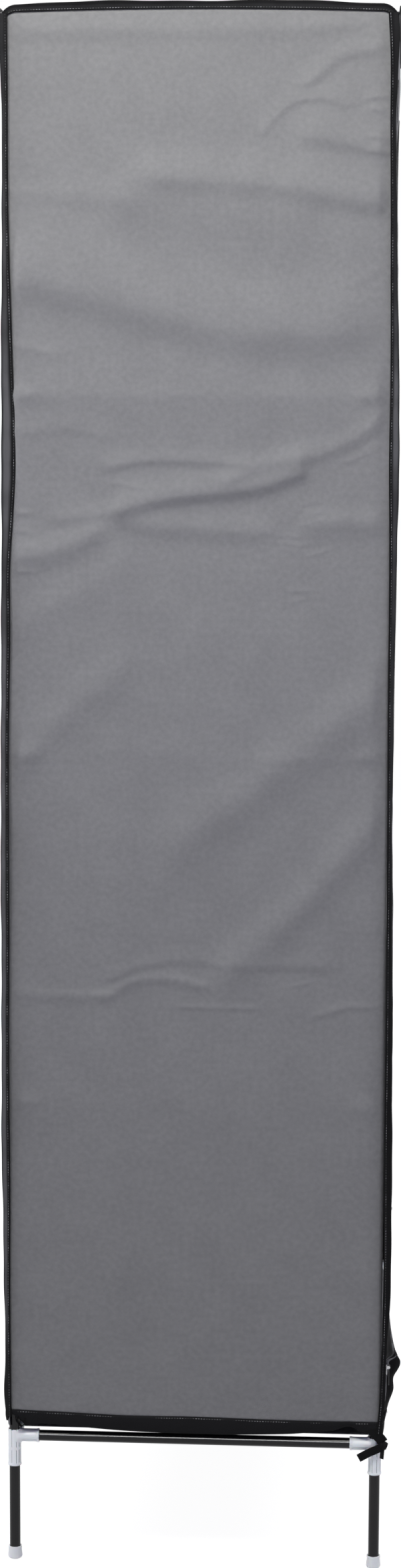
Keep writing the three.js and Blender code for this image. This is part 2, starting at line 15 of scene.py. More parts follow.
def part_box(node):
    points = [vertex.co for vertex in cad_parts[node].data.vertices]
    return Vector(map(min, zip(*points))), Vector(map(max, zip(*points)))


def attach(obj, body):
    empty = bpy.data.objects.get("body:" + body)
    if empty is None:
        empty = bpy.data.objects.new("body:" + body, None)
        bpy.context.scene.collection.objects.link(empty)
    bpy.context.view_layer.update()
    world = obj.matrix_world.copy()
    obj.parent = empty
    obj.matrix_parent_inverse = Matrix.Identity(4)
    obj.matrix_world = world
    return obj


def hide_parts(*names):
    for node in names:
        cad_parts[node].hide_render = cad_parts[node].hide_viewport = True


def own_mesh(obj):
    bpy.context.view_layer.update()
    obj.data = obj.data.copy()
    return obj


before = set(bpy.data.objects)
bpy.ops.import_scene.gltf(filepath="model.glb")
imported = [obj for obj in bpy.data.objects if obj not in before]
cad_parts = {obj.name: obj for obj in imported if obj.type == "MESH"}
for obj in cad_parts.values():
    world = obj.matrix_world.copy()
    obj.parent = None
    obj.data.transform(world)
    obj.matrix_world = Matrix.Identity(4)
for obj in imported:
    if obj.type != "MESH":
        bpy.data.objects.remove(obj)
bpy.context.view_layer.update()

sides = (("left", -1), ("right", 1))
faces = (("front", -1), ("back", 1))


def centre(node):
    low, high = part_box(node)
    return (low + high) / 2


# Camera
# The photograph looks square on at one end from 3.5 m away, at chest height. The camera looks
# a little down, and a little past the middle towards the back.
camera_distance = 3.5
camera_height = 1.427
camera_aside = -0.226
look_down = math.radians(8.22)
look_back = math.radians(3.62)
camera_roll = math.radians(0.22)
camera_lens = 72.08
sensor_width = 36

post = centre("upright_lower_back_right")
half_width, half_depth = post.x, post.y


def place_camera():
    lens = bpy.data.cameras.new("camera")
    lens.lens = camera_lens
    lens.sensor_width = sensor_width
    camera = bpy.data.objects.new("camera", lens)
    bpy.context.scene.collection.objects.link(camera)
    camera.location = (-half_width - camera_distance, camera_aside, camera_height)
    level = math.cos(look_down)
    view = Vector((math.cos(look_back) * level, math.sin(look_back) * level, -math.sin(look_down)))
    camera.rotation_mode = "QUATERNION"
    roll = Quaternion((0, 0, 1), camera_roll)
    camera.rotation_quaternion = view.to_track_quat("-Z", "Y") @ roll
    bpy.context.scene.camera = camera


place_camera()
bpy.context.scene.view_settings.view_transform = "Standard"


# Steel tubes
# Thin-walled tube, 12.5 mm across, cut to length and enamelled black. Its ends are pushed into
# the sockets. The enamel is smooth, with the slight ripple of a sprayed and baked coat.
tube_sides = 48
tube_wall = 0.0007
enamel_colour = (0.006, 0.0058, 0.0062, 1)
enamel_pale = (0.012, 0.0115, 0.012, 1)
enamel_roughness = 0.1
enamel_wear = 0.1
enamel_gloss = 0.22
enamel_ripple = 0.00004
ripple_size = 0.004
wear_size = 0.03
sharp_edge = math.radians(35)


class Field:
    """A socket of a node tree. Sums and products of fields add the Math nodes that make them."""

    def __init__(self, nodes, socket):
        self.nodes = nodes
        self.socket = socket

    def __getitem__(self, output):
        return Field(self.nodes, self.socket.node.outputs[output])

    def math(self, operation, *terms):
        return self.nodes.add("ShaderNodeMath", {"operation": operation}, dict(enumerate(terms)))

    def __add__(self, other):
        return self.math("ADD", self, other)

    def __sub__(self, other):
        return self.math("SUBTRACT", self, other)

    def __mul__(self, other):
        return self.math("MULTIPLY", self, other)

    def __truediv__(self, other):
        return self.math("DIVIDE", self, other)

    def __pow__(self, other):
        return self.math("POWER", self, other)

    def __radd__(self, other):
        return self.math("ADD", other, self)

    def __rsub__(self, other):
        return self.math("SUBTRACT", other, self)

    def __rmul__(self, other):
        return self.math("MULTIPLY", other, self)

    def __abs__(self):
        return self.math("ABSOLUTE", self)

    def higher(self, other, blend=0.0):
        return self.math("SMOOTH_MAX", self, other, blend)

    def lower(self, other, blend=0.0):
        return self.math("SMOOTH_MIN", self, other, blend)

    def clamped(self):
        return self.math("MINIMUM", self.math("MAXIMUM", self, 0.0), 1.0)


class Nodes:
    """Writes a node tree. add() takes a node's type, its settings and its sockets' values."""

    def __init__(self, tree):
        self.tree = tree

    def add(self, kind, settings=None, values=None, output=0):
        node = self.tree.nodes.new(kind)
        for name, setting in (settings or {}).items():
            setattr(node, name, setting)
        for key, value in (values or {}).items():
            if isinstance(value, Field):
                self.tree.links.new(value.socket, node.inputs[key])
            else:
                node.inputs[key].default_value = value
        return Field(self, node.outputs[output]) if node.outputs else node


def material_of(name):
    material = bpy.data.materials.new(name)
    material.use_nodes = True
    material.node_tree.nodes.clear()
    return material, Nodes(material.node_tree)


def noise(nodes, size, detail=2.0, place=None):
    """Soft random values from 0 to 1, with patches of about this size."""
    where = place or nodes.add("ShaderNodeTexCoord", output="Object")
    return nodes.add("ShaderNodeTexNoise", {}, {"Vector": where, "Scale": 1 / size, "Detail": detail})


def mixed(nodes, share, first, second):
    """A colour between two others."""
    mix = nodes.add("ShaderNodeMix", {"data_type": "RGBA"}, {0: share})
    node = mix.socket.node
    colour_inputs = [socket for socket in node.inputs if socket.type == "RGBA"]
    for socket, value in zip(colour_inputs, (first, second)):
        if isinstance(value, Field):
            nodes.tree.links.new(value.socket, socket)
        else:
            socket.default_value = value
    return Field(nodes, next(socket for socket in node.outputs if socket.type == "RGBA"))


def bumped(nodes, height, depth):
    """A normal that follows a height, from 0 to 1, over this depth in metres."""
    return nodes.add("ShaderNodeBump", {}, {"Height": height, "Distance": depth, "Strength": 1.0})


def surface(nodes, **sockets):
    values = {name.replace("_", " "): value for name, value in sockets.items()}
    shader = nodes.add("ShaderNodeBsdfPrincipled", {}, values)
    nodes.add("ShaderNodeOutputMaterial", {}, {"Surface": shader})


def enamel():
    material, nodes = material_of("black_enamel")
    worn = noise(nodes, wear_size)
    ripple = noise(nodes, ripple_size)
    surface(
        nodes,
        Base_Color=mixed(nodes, worn, enamel_colour, enamel_pale),
        Roughness=enamel_roughness + enamel_wear * (worn - 0.5),
        Normal=bumped(nodes, ripple, enamel_ripple),
        Specular_IOR_Level=enamel_gloss,
    )
    return material


def geometry_tree(name, inputs):
    """A new Geometry Nodes tree with these named inputs, as {name: kind of socket}."""
    tree = bpy.data.node_groups.new(name, "GeometryNodeTree")
    for label, kind in inputs.items():
        tree.interface.new_socket(label, in_out="INPUT", socket_type="NodeSocket" + kind)
    tree.interface.new_socket("Result", in_out="OUTPUT", socket_type="NodeSocketGeometry")
    nodes = Nodes(tree)
    entry = tree.nodes.new("NodeGroupInput")
    fields = {label: Field(nodes, entry.outputs[label]) for label in inputs}
    return nodes, fields


def closed_tree(nodes, result, material):
    """Ends a tree: instances are made real and everything gets its material."""
    real = nodes.add("GeometryNodeRealizeInstances", {}, {0: result})
    coated = nodes.add("GeometryNodeSetMaterial", {}, {"Geometry": real, "Material": material})
    nodes.add("NodeGroupOutput", {}, {0: coated})
    return nodes.tree


def linked(name, mesh):
    piece = bpy.data.objects.new(name, mesh)
    bpy.context.scene.collection.objects.link(piece)
    return piece


def smoothed(piece, sharp=sharp_edge):
    """Shaded smooth, with the edges that are sharper than this left crisp."""
    mesh = piece.data
    mesh.polygons.foreach_set("use_smooth", [True] * len(mesh.polygons))
    mesh.set_sharp_from_angle(angle=sharp)
    return piece


def grown(name, tree, sizes, start=None):
    """The plain mesh that a tree makes from these sizes, and from a mesh to start with."""
    host = linked(name, start or bpy.data.meshes.new(name))
    modifier = host.modifiers.new(name, "NODES")
    modifier.node_group = tree
    for socket in tree.interface.items_tree:
        if socket.name in sizes:
            modifier[socket.identifier] = sizes[socket.name]
    depsgraph = bpy.context.evaluated_depsgraph_get()
    made = bpy.data.meshes.new_from_object(host.evaluated_get(depsgraph), depsgraph=depsgraph)
    host.modifiers.clear()
    host.data = made
    made.name = name
    return smoothed(host)


def pipe_tree():
    """A circle swept by the section of the tube's wall, which is as tall as the tube is long."""
    inputs = {"Radius": "Float", "Wall": "Float", "Length": "Float", "Sides": "Int", "Turn": "Rotation"}
    nodes, size = geometry_tree("steel pipe", {**inputs, "Place": "Vector", "Material": "Material"})
    middle = size["Radius"] - size["Wall"] / 2
    round_sizes = {"Resolution": size["Sides"], "Radius": middle}
    circle = nodes.add("GeometryNodeCurvePrimitiveCircle", {}, round_sizes)
    wall_sizes = {"Width": size["Wall"], "Height": size["Length"]}
    section = nodes.add("GeometryNodeCurvePrimitiveQuadrilateral", {}, wall_sizes)
    pipe = nodes.add("GeometryNodeCurveToMesh", {}, {"Curve": circle, "Profile Curve": section})
    moves = {"Geometry": pipe, "Translation": size["Place"], "Rotation": size["Turn"]}
    placed = nodes.add("GeometryNodeTransform", {}, moves)
    return closed_tree(nodes, placed, size["Material"])


black_enamel = enamel()
steel_pipe = pipe_tree()
along_axis = ((0, math.pi / 2, 0), (math.pi / 2, 0, 0), (0, 0, 0))


def stands_for(piece, body, slot, *nodes):
    """The piece moves with a body, and is shown in the place of these nodes of the frame."""
    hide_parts(*nodes)
    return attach(piece, body)


def tube(name, axis, radius, place, length, node):
    """A steel tube along an axis, which stands for a node of the frame."""
    sizes = {
        "Radius": radius,
        "Wall": tube_wall,
        "Length": length,
        "Sides": tube_sides,
        "Turn": along_axis[axis],
        "Place": place,
        "Material": black_enamel,
    }
    piece = grown(name, steel_pipe, sizes)
    return stands_for(piece, "wardrobe", "steel_tube", node)


def tube_for(node):
    low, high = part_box(node)
    size = high - low
    axis = max(range(3), key=lambda i: size[i])
    return tube(node + "_steel", axis, min(size) / 2, (low + high) / 2, size[axis], node)


tube_radius = (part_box("hanging_rod")[1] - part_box("hanging_rod")[0]).z / 2
for side, _ in sides:
    for face, _ in faces:
        for part in ("leg_tube", "upright_lower", "upright_upper"):
            tube_for(f"{part}_{face}_{side}")
    tube_for(f"bottom_depth_rail_{side}")
    tube_for(f"top_depth_rail_{side}")
for face, _ in faces:
    for tier in ("bottom", "shelf", "top"):
        tube_for(f"{tier}_width_rail_{face}")
tube_for("hanging_rod")


# Foot caps
# Soft white plastic caps pushed over the legs' ends, a little wider at the foot, with a rounded
# lower edge and a small bead at the mouth.
cap_sides = 48
cap_flare = 0.0004
cap_bead = 0.0005
cap_bead_height = 0.0016
cap_rounding = 0.0035
cap_floor = 0.003
cap_steps = 8
cap_fit_share = 0.12
plastic_colour = (0.93, 0.935, 0.92, 1)
plastic_shade = (0.86, 0.87, 0.865, 1)
plastic_roughness = 0.42
plastic_uneven = 0.08
plastic_glow = 0.12
plastic_glow_depth = 0.004
plastic_grain = 0.00003
plastic_grain_size = 0.0011
plastic_cloud_size = 0.02


def moulded_plastic():
    material, nodes = material_of("white_plastic")
    cloud = noise(nodes, plastic_cloud_size)
    grain = noise(nodes, plastic_grain_size)
    surface(
        nodes,
        Base_Color=mixed(nodes, cloud, plastic_colour, plastic_shade),
        Roughness=plastic_roughness + plastic_uneven * (grain - 0.5),
        Normal=bumped(nodes, grain, plastic_grain),
        Subsurface_Weight=plastic_glow,
        Subsurface_Scale=plastic_glow_depth,
    )
    return material


white_plastic = moulded_plastic()


def mesh_of(name, points, quads, material, uvs=None, caps=()):
    """A mesh of four-sided faces and caps, with a UV map in metres if its points have cuts."""
    mesh = bpy.data.meshes.new(name)
    mesh.from_pydata(np.asarray(points).tolist(), [], [*np.asarray(quads).tolist(), *caps])
    if uvs is not None:
        layer = mesh.uv_layers.new(name="cut")
        corners = np.zeros(len(mesh.loops), int)
        mesh.loops.foreach_get("vertex_index", corners)
        layer.data.foreach_set("uv", np.asarray(uvs)[corners].ravel())
    mesh.materials.append(material)
    mesh.validate()
    return mesh


def turned(name, profile, sides, place, material):
    """A closed profile of (radius, height) turned about Z, from the axis back to the axis."""
    rings = profile[1:-1]
    angles = np.arange(sides) * 2 * math.pi / sides
    points = [(0, 0, profile[0][1]), (0, 0, profile[-1][1])]
    for radius, height in rings:
        points += [(radius * math.cos(a), radius * math.sin(a), height) for a in angles]

    def at(ring, i):
        return 2 + ring * sides + i % sides

    polygons = []
    for ring in range(len(rings) - 1):
        for i in range(sides):
            polygons.append((at(ring, i), at(ring, i + 1), at(ring + 1, i + 1), at(ring + 1, i)))
    for i in range(sides):
        polygons.append((0, at(0, i + 1), at(0, i)))
        polygons.append((1, at(len(rings) - 1, i), at(len(rings) - 1, i + 1)))
    mesh = bpy.data.meshes.new(name)
    mesh.from_pydata((np.array(points) + np.array(place)).tolist(), [], polygons)
    mesh.materials.append(material)
    return smoothed(linked(name, mesh))


def foot_cap(node):
    low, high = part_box(node)
    place = ((low.x + high.x) / 2, (low.y + high.y) / 2, low.z)
    outer = (high.x - low.x) / 2
    tall = high.z - low.z
    bore = tube_radius + (outer - tube_radius) * cap_fit_share
    turns = [math.pi / 2 * step / cap_steps for step in range(cap_steps + 1)]
    foot = [
        (outer - cap_rounding + cap_rounding * math.sin(t), cap_rounding - cap_rounding * math.cos(t))
        for t in turns
    ]
    neck = outer - cap_flare
    mouth = [
        (neck - cap_bead, tall - 2 * cap_bead_height),
        (neck, tall - cap_bead_height),
        (neck - cap_bead / 2, tall),
        (bore, tall),
        (bore, cap_floor),
    ]
    profile = [(0, 0), *foot, *mouth, (0, cap_floor)]
    piece = turned(node + "_moulded", profile, cap_sides, place, white_plastic)
    stands_for(piece, "wardrobe", "socket_plastic", node)


for side, _ in sides:
    for face, _ in faces:
        foot_cap(f"foot_cap_{face}_{side}")


# Moulded sockets
# Each is one moulding of white plastic: a sleeve for the uprights, arms for the rails, soft
# fillets where they meet, and a slightly thicker rim at each mouth. A web stops the tubes.
socket_step = 0.0009
socket_fillet = 0.0045
socket_edge = 0.0006
rim_width = 0.0026
rim_proud = 0.0005
arm_start = 0.55
tube_fit = 0.0003
far_away = 1.0
margin_cells = 3


def skinned(nodes, solid, size):
    """Ends a tree with the skin of a solid, which is given as the distance outside its surface."""
    steps = nodes.add("ShaderNodeSeparateXYZ", {}, {0: size["Steps"]})
    volume = nodes.add(
        "GeometryNodeVolumeCube",
        {},
        {
            "Density": 0.0 - solid,
            "Background": -far_away,
            "Min": size["Low corner"],
            "Max": size["High corner"],
            "Resolution X": steps["X"],
            "Resolution Y": steps["Y"],
            "Resolution Z": steps["Z"],
        },
    )
    skin = nodes.add("GeometryNodeVolumeToMesh", {}, {"Volume": volume, "Threshold": 0.0})
    placed = nodes.add("GeometryNodeTransform", {}, {"Geometry": skin, "Translation": size["Place"]})
    return closed_tree(nodes, placed, size["Material"])


def faced(nodes, position, facing):
    """The three parts of a place, with its signs turned to face into the frame."""
    turned_place = nodes.add("ShaderNodeVectorMath", {"operation": "MULTIPLY"}, {0: position, 1: facing})
    apart = nodes.add("ShaderNodeSeparateXYZ", {}, {0: turned_place})
    return apart["X"], apart["Y"], apart["Z"]


def socket_tree():
    """Distances to the sleeve and the arms, blended into each other, with the bores cut out."""
    inputs = {
        "Radius": "Float",
        "Bore": "Float",
        "Reach": "Float",
        "Bottom": "Float",
        "Top": "Float",
        "Web bottom": "Float",
        "Web top": "Float",
        "Width arm": "Float",
        "Depth arm": "Float",
        "Facing": "Vector",
        "Low corner": "Vector",
        "High corner": "Vector",
        "Steps": "Vector",
        "Place": "Vector",
        "Material": "Material",
    }
    nodes, size = geometry_tree("moulded socket", inputs)
    position = nodes.add("GeometryNodeInputPosition")
    x, y, z = faced(nodes, position, size["Facing"])

    def rod(u, v, w, low, high, radius, edge=socket_edge):
        radial = (u * u + v * v) ** 0.5 - radius
        return radial.higher(abs(w - (low + high) / 2) - (high - low) / 2, edge)

    body_radius = size["Radius"] - rim_proud
    solid = rod(x, y, z, size["Bottom"], size["Top"], body_radius)
    start = size["Radius"] * arm_start
    for u, v, w, present in ((y, z, x, "Width arm"), (x, z, y, "Depth arm")):
        arm = rod(u, v, w, start, size["Reach"], body_radius)
        solid = solid.lower(arm + (1 - size[present]) * far_away, socket_fillet)
        rim = rod(u, v, w, size["Reach"] - rim_width, size["Reach"], size["Radius"])
        solid = solid.lower(rim + (1 - size[present]) * far_away, socket_edge)
        bore = rod(u, v, w, start + size["Radius"] / 2, size["Reach"] + rim_width, size["Bore"], 0.0)
        solid = solid.higher(0.0 - (bore + (1 - size[present]) * far_away), socket_edge / 2)
    low_rim = rod(x, y, z, size["Bottom"], size["Bottom"] + rim_width, size["Radius"])
    solid = solid.lower(low_rim, socket_edge)
    below = rod(x, y, z, size["Bottom"] - rim_width, size["Web bottom"], size["Bore"], 0.0)
    above = rod(x, y, z, size["Web top"], size["Top"] + rim_width, size["Bore"], 0.0)
    solid = solid.higher(0.0 - below, socket_edge / 2).higher(0.0 - above, socket_edge / 2)
    return skinned(nodes, solid, size)


moulded_socket = socket_tree()
leg_box, lowest_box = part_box("leg_tube_back_right"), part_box("bottom_connector_back_right")
levels = {
    "bottom": centre("bottom_depth_rail_left").z,
    "shelf": centre("shelf_rung_left").z,
    "middle": centre("middle_rung_left").z,
    "upper": centre("upper_rung_left").z,
    "top": centre("top_depth_rail_left").z,
}
socket_radius = lowest_box[1].x - half_width
arm_reach = half_width - lowest_box[0].x
corner_drop = levels["bottom"] - lowest_box[0].z
coupler_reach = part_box("middle_rung_left")[1].z - levels["middle"]


def socket(name, corner, level, sizes, node):
    """One moulding at a corner of the frame, which stands for a node or for part of one."""
    side_x, side_y = corner
    facing = (-side_x, -side_y, 1)
    margin = margin_cells * socket_step
    lows, highs = [], []
    for present, direction in ((sizes["Width arm"], -side_x), (sizes["Depth arm"], -side_y)):
        reach = arm_reach if present else socket_radius
        lows.append(-(reach if direction < 0 else socket_radius) - margin)
        highs.append((reach if direction > 0 else socket_radius) + margin)
    lows.append(sizes["Bottom"] - margin)
    highs.append(sizes["Top"] + margin)
    steps = [round((high - low) / socket_step) for low, high in zip(lows, highs)]
    whole = {
        "Radius": socket_radius,
        "Bore": tube_radius + tube_fit,
        "Reach": arm_reach,
        "Facing": facing,
        "Low corner": lows,
        "High corner": highs,
        "Steps": steps,
        "Place": (side_x * half_width, side_y * half_depth, level),
        "Material": white_plastic,
        **sizes,
    }
    piece = grown(name, moulded_socket, whole)
    stands_for(piece, "wardrobe", "socket_plastic", node)


leg_top = leg_box[1].z - levels["bottom"] + tube_fit
post_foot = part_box("upright_lower_back_right")[0].z - levels["bottom"] - tube_fit
post_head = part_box("upright_upper_back_right")[1].z - levels["top"] + tube_fit
half_web = levels["middle"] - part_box("upright_lower_back_right")[1].z - tube_fit
lowest_sizes = {
    "Bottom": -corner_drop,
    "Top": socket_radius,
    "Web bottom": leg_top,
    "Web top": post_foot,
    "Width arm": 1.0,
    "Depth arm": 1.0,
}
top_sizes = {**lowest_sizes, "Web bottom": post_head, "Web top": 2 * socket_radius}
coupler_sizes = {"Bottom": -coupler_reach, "Top": coupler_reach, "Depth arm": 1.0}
open_sizes = {**coupler_sizes, "Web bottom": coupler_reach, "Web top": coupler_reach, "Width arm": 0.0}
rung_sizes = {
    "shelf": {**open_sizes, "Width arm": 1.0},
    "middle": {**open_sizes, "Web bottom": -half_web, "Web top": half_web},
    "upper": open_sizes,
}
for side, side_x in sides:
    for face, side_y in faces:
        corner = (side_x, side_y)
        where = f"{face}_{side}"
        name = f"bottom_socket_{where}"
        socket(name, corner, levels["bottom"], lowest_sizes, f"bottom_connector_{where}")
        socket(f"top_socket_{where}", corner, levels["top"], top_sizes, f"top_connector_{where}")
        for tier, sizes in rung_sizes.items():
            socket(f"{tier}_socket_{where}", corner, levels[tier], sizes, f"{tier}_rung_{side}")
    for tier in rung_sizes:
        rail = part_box(f"bottom_depth_rail_{side}")
        place = (side_x * half_width, 0, levels[tier])
        length = (rail[1] - rail[0]).y
        tube(f"{tier}_depth_rail_{side}", 1, tube_radius, place, length, f"{tier}_rung_{side}")


# Rod hangers
# White mouldings that are clipped round the top depth rails. A web under each ring carries a
# closed cup, which takes one end of the hanging rod.
ring_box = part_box("rod_hanger_left")
hanger_reach = (ring_box[1] - ring_box[0]).y / 2
rod_level = centre("hanging_rod").z
ring_radius = ring_box[1].z - levels["top"]
cup_reach = ring_box[1].x + half_width
cup_floor = 0.003
web_half = 0.0032
hanger_fillet = 0.003
web_share = 0.7


def hanger_tree():
    """Distances to the ring, the web and the cup, blended together, with the two bores cut out."""
    inputs = {
        "Ring": "Float",
        "Cup": "Float",
        "Bore": "Float",
        "Reach": "Float",
        "Cup reach": "Float",
        "Drop": "Float",
        "Facing": "Vector",
        "Low corner": "Vector",
        "High corner": "Vector",
        "Steps": "Vector",
        "Place": "Vector",
        "Material": "Material",
    }
    nodes, size = geometry_tree("rod hanger", inputs)
    position = nodes.add("GeometryNodeInputPosition")
    x, y, z = faced(nodes, position, size["Facing"])
    low = z + size["Drop"]
    ring = ((x * x + z * z) ** 0.5 - size["Ring"]).higher(abs(y) - size["Reach"], socket_edge)
    web = (abs(x) - web_half).higher(abs(y) - size["Reach"] * web_share, socket_edge)
    web = web.higher(abs(z + size["Drop"] / 2) - size["Drop"] / 2, socket_edge)
    cup_middle = size["Cup reach"] / 2
    cup = (y * y + low * low) ** 0.5 - size["Cup"]
    cup = cup.higher(abs(x - cup_middle) - cup_middle, socket_edge)
    solid = ring.lower(web, hanger_fillet).lower(cup, hanger_fillet)
    rail_bore = (x * x + z * z) ** 0.5 - size["Bore"]
    rod_bore = ((y * y + low * low) ** 0.5 - size["Bore"]).higher(cup_floor - x)
    solid = solid.higher(0.0 - rail_bore, socket_edge / 2).higher(0.0 - rod_bore, socket_edge / 2)
    return skinned(nodes, solid, size)


def rod_hanger(side, side_x):
    margin = margin_cells * socket_step
    low = Vector((cup_reach if side_x > 0 else ring_radius, hanger_reach, levels["top"] - ring_box[0].z))
    high = Vector((ring_radius if side_x > 0 else cup_reach, hanger_reach, ring_radius))
    low, high = -low - Vector((margin,) * 3), high + Vector((margin,) * 3)
    sizes = {
        "Ring": ring_radius,
        "Cup": socket_radius,
        "Bore": tube_radius + tube_fit,
        "Reach": hanger_reach,
        "Cup reach": cup_reach,
        "Drop": levels["top"] - rod_level,
        "Facing": (-side_x, 1, 1),
        "Low corner": low,
        "High corner": high,
        "Steps": [round(length / socket_step) for length in high - low],
        "Place": (side_x * half_width, 0, levels["top"]),
        "Material": white_plastic,
    }
    piece = grown(f"rod_hanger_{side}_moulded", moulded_hanger, sizes)
    stands_for(piece, "wardrobe", "socket_plastic", f"rod_hanger_{side}")


moulded_hanger = hanger_tree()
for side, side_x in sides:
    rod_hanger(side, side_x)


# Cloth shelves
# Grey bonded cloth, sewn into a sleeve along the front and the back. The sleeves slide over the
# two width rails of a level, and the cloth sags between them.
cloth_thickness = 0.0006
cloth_colour = (0.216, 0.217, 0.214, 1)
cloth_dark = (0.163, 0.163, 0.164, 1)
cloth_roughness = 0.8
cloth_gloss = 0.25
emboss_pitch = 0.0016
emboss_depth = 0.0002
emboss_share = 0.55
fibre_size = 0.0007
fibre_detail, cloud_detail = 3.0, 4.0
cloth_uneven = 0.12
cloth_sheen, cloth_sheen_spread = 0.06, 0.5
cloud_size = 0.045
mottle_size = 0.006
cloud_share, mottle_share, texture_share = 0.7, 1.3, 1.2
shelf_cell = 0.008
sleeve_steps = 30
shelf_taut = 5
sleeve_gap = 0.0006
shelf_ripple = 0.0016
shelf_ripples, shelf_bends = 31, 17


def cloth_texture(nodes, cut):
    """Bonded cloth: rows of tiny pressed points between soft fibres. Gives the height, 0 to 1."""
    place = nodes.add("ShaderNodeSeparateXYZ", {}, {0: cut})
    turn = 2 * math.pi / emboss_pitch
    across = nodes.add("ShaderNodeMath", {"operation": "SINE"}, {0: place["X"] * turn})
    along = nodes.add("ShaderNodeMath", {"operation": "SINE"}, {0: place["Y"] * turn})
    points = across * along * 0.5 + 0.5
    fibres = noise(nodes, fibre_size, fibre_detail, cut)
    return points * emboss_share + fibres * (1 - emboss_share)


def bonded_cloth(name, light, dark):
    material, nodes = material_of(name)
    cut = nodes.add("ShaderNodeUVMap", {"uv_map": "cut"})
    texture = cloth_texture(nodes, cut)
    cloud = noise(nodes, cloud_size, cloud_detail, cut)
    mottle = noise(nodes, mottle_size, 2.0, cut)
    uneven = (cloud - 0.5) * cloud_share + (mottle - 0.5) * mottle_share
    shade = (uneven + (texture - 0.5) * texture_share + 0.5).clamped()
    surface(
        nodes,
        Base_Color=mixed(nodes, shade, dark, light),
        Roughness=cloth_roughness + cloth_uneven * (texture - 0.5),
        Normal=bumped(nodes, texture, emboss_depth),
        Specular_IOR_Level=cloth_gloss,
        Sheen_Weight=cloth_sheen,
        Sheen_Roughness=cloth_sheen_spread,
    )
    return material


grey_cloth = bonded_cloth("grey_cloth", cloth_colour, cloth_dark)


def cloth(name, us, vs, place, material=grey_cloth, thickness=cloth_thickness):
    """A sheet of cloth on a grid over its cut. place(u, v) gives the points of the finished shape."""
    u, v = np.meshgrid(us, vs)
    points = np.stack(np.broadcast_arrays(*place(u, v)), axis=-1).reshape(-1, 3)
    cuts = np.stack((u, v), axis=-1).reshape(-1, 2)
    wide, tall = len(us), len(vs)
    first = (np.arange(tall - 1)[:, None] * wide + np.arange(wide - 1)).ravel()
    quads = np.stack((first, first + 1, first + wide + 1, first + wide), axis=-1)
    piece = smoothed(linked(name, mesh_of(name, points, quads, material, cuts)), math.pi)
    solidify = piece.modifiers.new("thickness", "SOLIDIFY")
    solidify.thickness = thickness
    solidify.offset = 0
    return piece


def steps(low, high, cell):
    return np.linspace(low, high, max(2, round(abs(high - low) / cell) + 1))


def shelf_cloth(name, tier):
    low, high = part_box(f"{name}_cloth")
    reach = high.x
    sag = levels[tier] - low.z - cloth_thickness
    radius = tube_radius + sleeve_gap
    half = half_depth - radius
    round_length = 2 * math.pi * radius
    flat = steps(-half, half, shelf_cell)
    rounds = np.linspace(0, round_length, sleeve_steps)[1:]
    cuts = np.concatenate((-half - rounds[::-1], flat, half + rounds))

    def place(u, v):
        beyond = np.maximum(np.abs(v) - half, 0)
        turn = beyond / radius
        hollow = np.maximum(0, 1 - (v / half) ** 2) * (1 - np.abs(u / reach) ** shelf_taut)
        ripple = shelf_ripple * np.sin(u * shelf_ripples + 2 * np.sin(v * shelf_bends))
        y = np.where(beyond > 0, np.sign(v) * (half_depth - radius * np.cos(turn)), v)
        z = np.where(beyond > 0, radius * np.sin(turn), (ripple - sag) * hollow)
        return u, y, levels[tier] + z

    piece = cloth(f"{name}_hung", steps(-reach, reach, shelf_cell), cuts, place)
    stands_for(piece, "wardrobe", "shelf_cloth", f"{name}_cloth")


shelf_cloth("lower_shelf", "bottom")
shelf_cloth("upper_shelf", "shelf")


# Ends of the cover
# The end that the photograph shows, and the one like it at the other side: grey bonded cloth,
# sewn to the rest along both corners and along the top. It hangs in broad soft folds with old
# creases from when it was packed, and the sockets and rails press through it.
back_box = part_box("back_panel")
hem_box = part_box("door_hem")
half_back = back_box[1].x
end_inner = half_back + tube_fit
hem_low, hem_high = hem_box[0].z, hem_box[1].z
seam_level = 1.7695
seam_arch = 0.0036
corner_reach = 0.2165
shown_cell, shown_row, shown_fine_row = 0.005, 0.0044, 0.0019
far_cell, far_row = 0.0075, 0.006
crisp_zones = ((0.6, 0.7), (1.09, 1.29), (1.58, 1.7))
end_flat = 0.012
end_slack = 0.0013
fold_share = 1.3
foot_share = 0.3
foot_flat = 0.05
press_height = 0.0019
press_width = 0.0085
press_soft = 0.006
rail_ridges = (
    ("upper", 0.0045, 0.034, 0.05),
    ("middle", 0.0011, 0.03, 0.03),
    ("shelf", 0.0008, 0.03, 0.03),
)
wave_directions = ((1.0, 0.35), (-0.6, 0.9), (0.25, -1.2), (1.4, 0.8))
wave_shift = 1.7
broad_swell, fine_swell = (0.31, 0.0011), (0.062, 0.00022)
far_phase = 2.1
arch_foot = 1.6
hem_drop, hem_blend, hem_blend_top = 0.003, 0.09, 0.26
packing_place = 0.088
packing_height = 0.0012
packing_width = 0.022
packing_span = (0.35, 1.27)


def through(value, points):
    """A smooth line through (place, height) points, read at these values."""
    x, y = np.array(sorted(points)).T
    slope = np.gradient(y, x)
    i = np.clip(np.searchsorted(x, value) - 1, 0, len(x) - 2)
    step = x[i + 1] - x[i]
    t = np.clip((value - x[i]) / step, 0, 1)
    start = (1 + 2 * t) * (1 - t) ** 2 * y[i] + t * (1 - t) ** 2 * step * slope[i]
    return start + t * t * (3 - 2 * t) * y[i + 1] + t * t * (t - 1) * step * slope[i + 1]


def eased(share):
    share = np.clip(share, 0, 1)
    return share * share * (3 - 2 * share)


def window(value, low, high, soft):
    """1 between two places, falling softly to 0 outside them."""
    return eased((value - low) / soft + 1) * eased((high - value) / soft + 1)


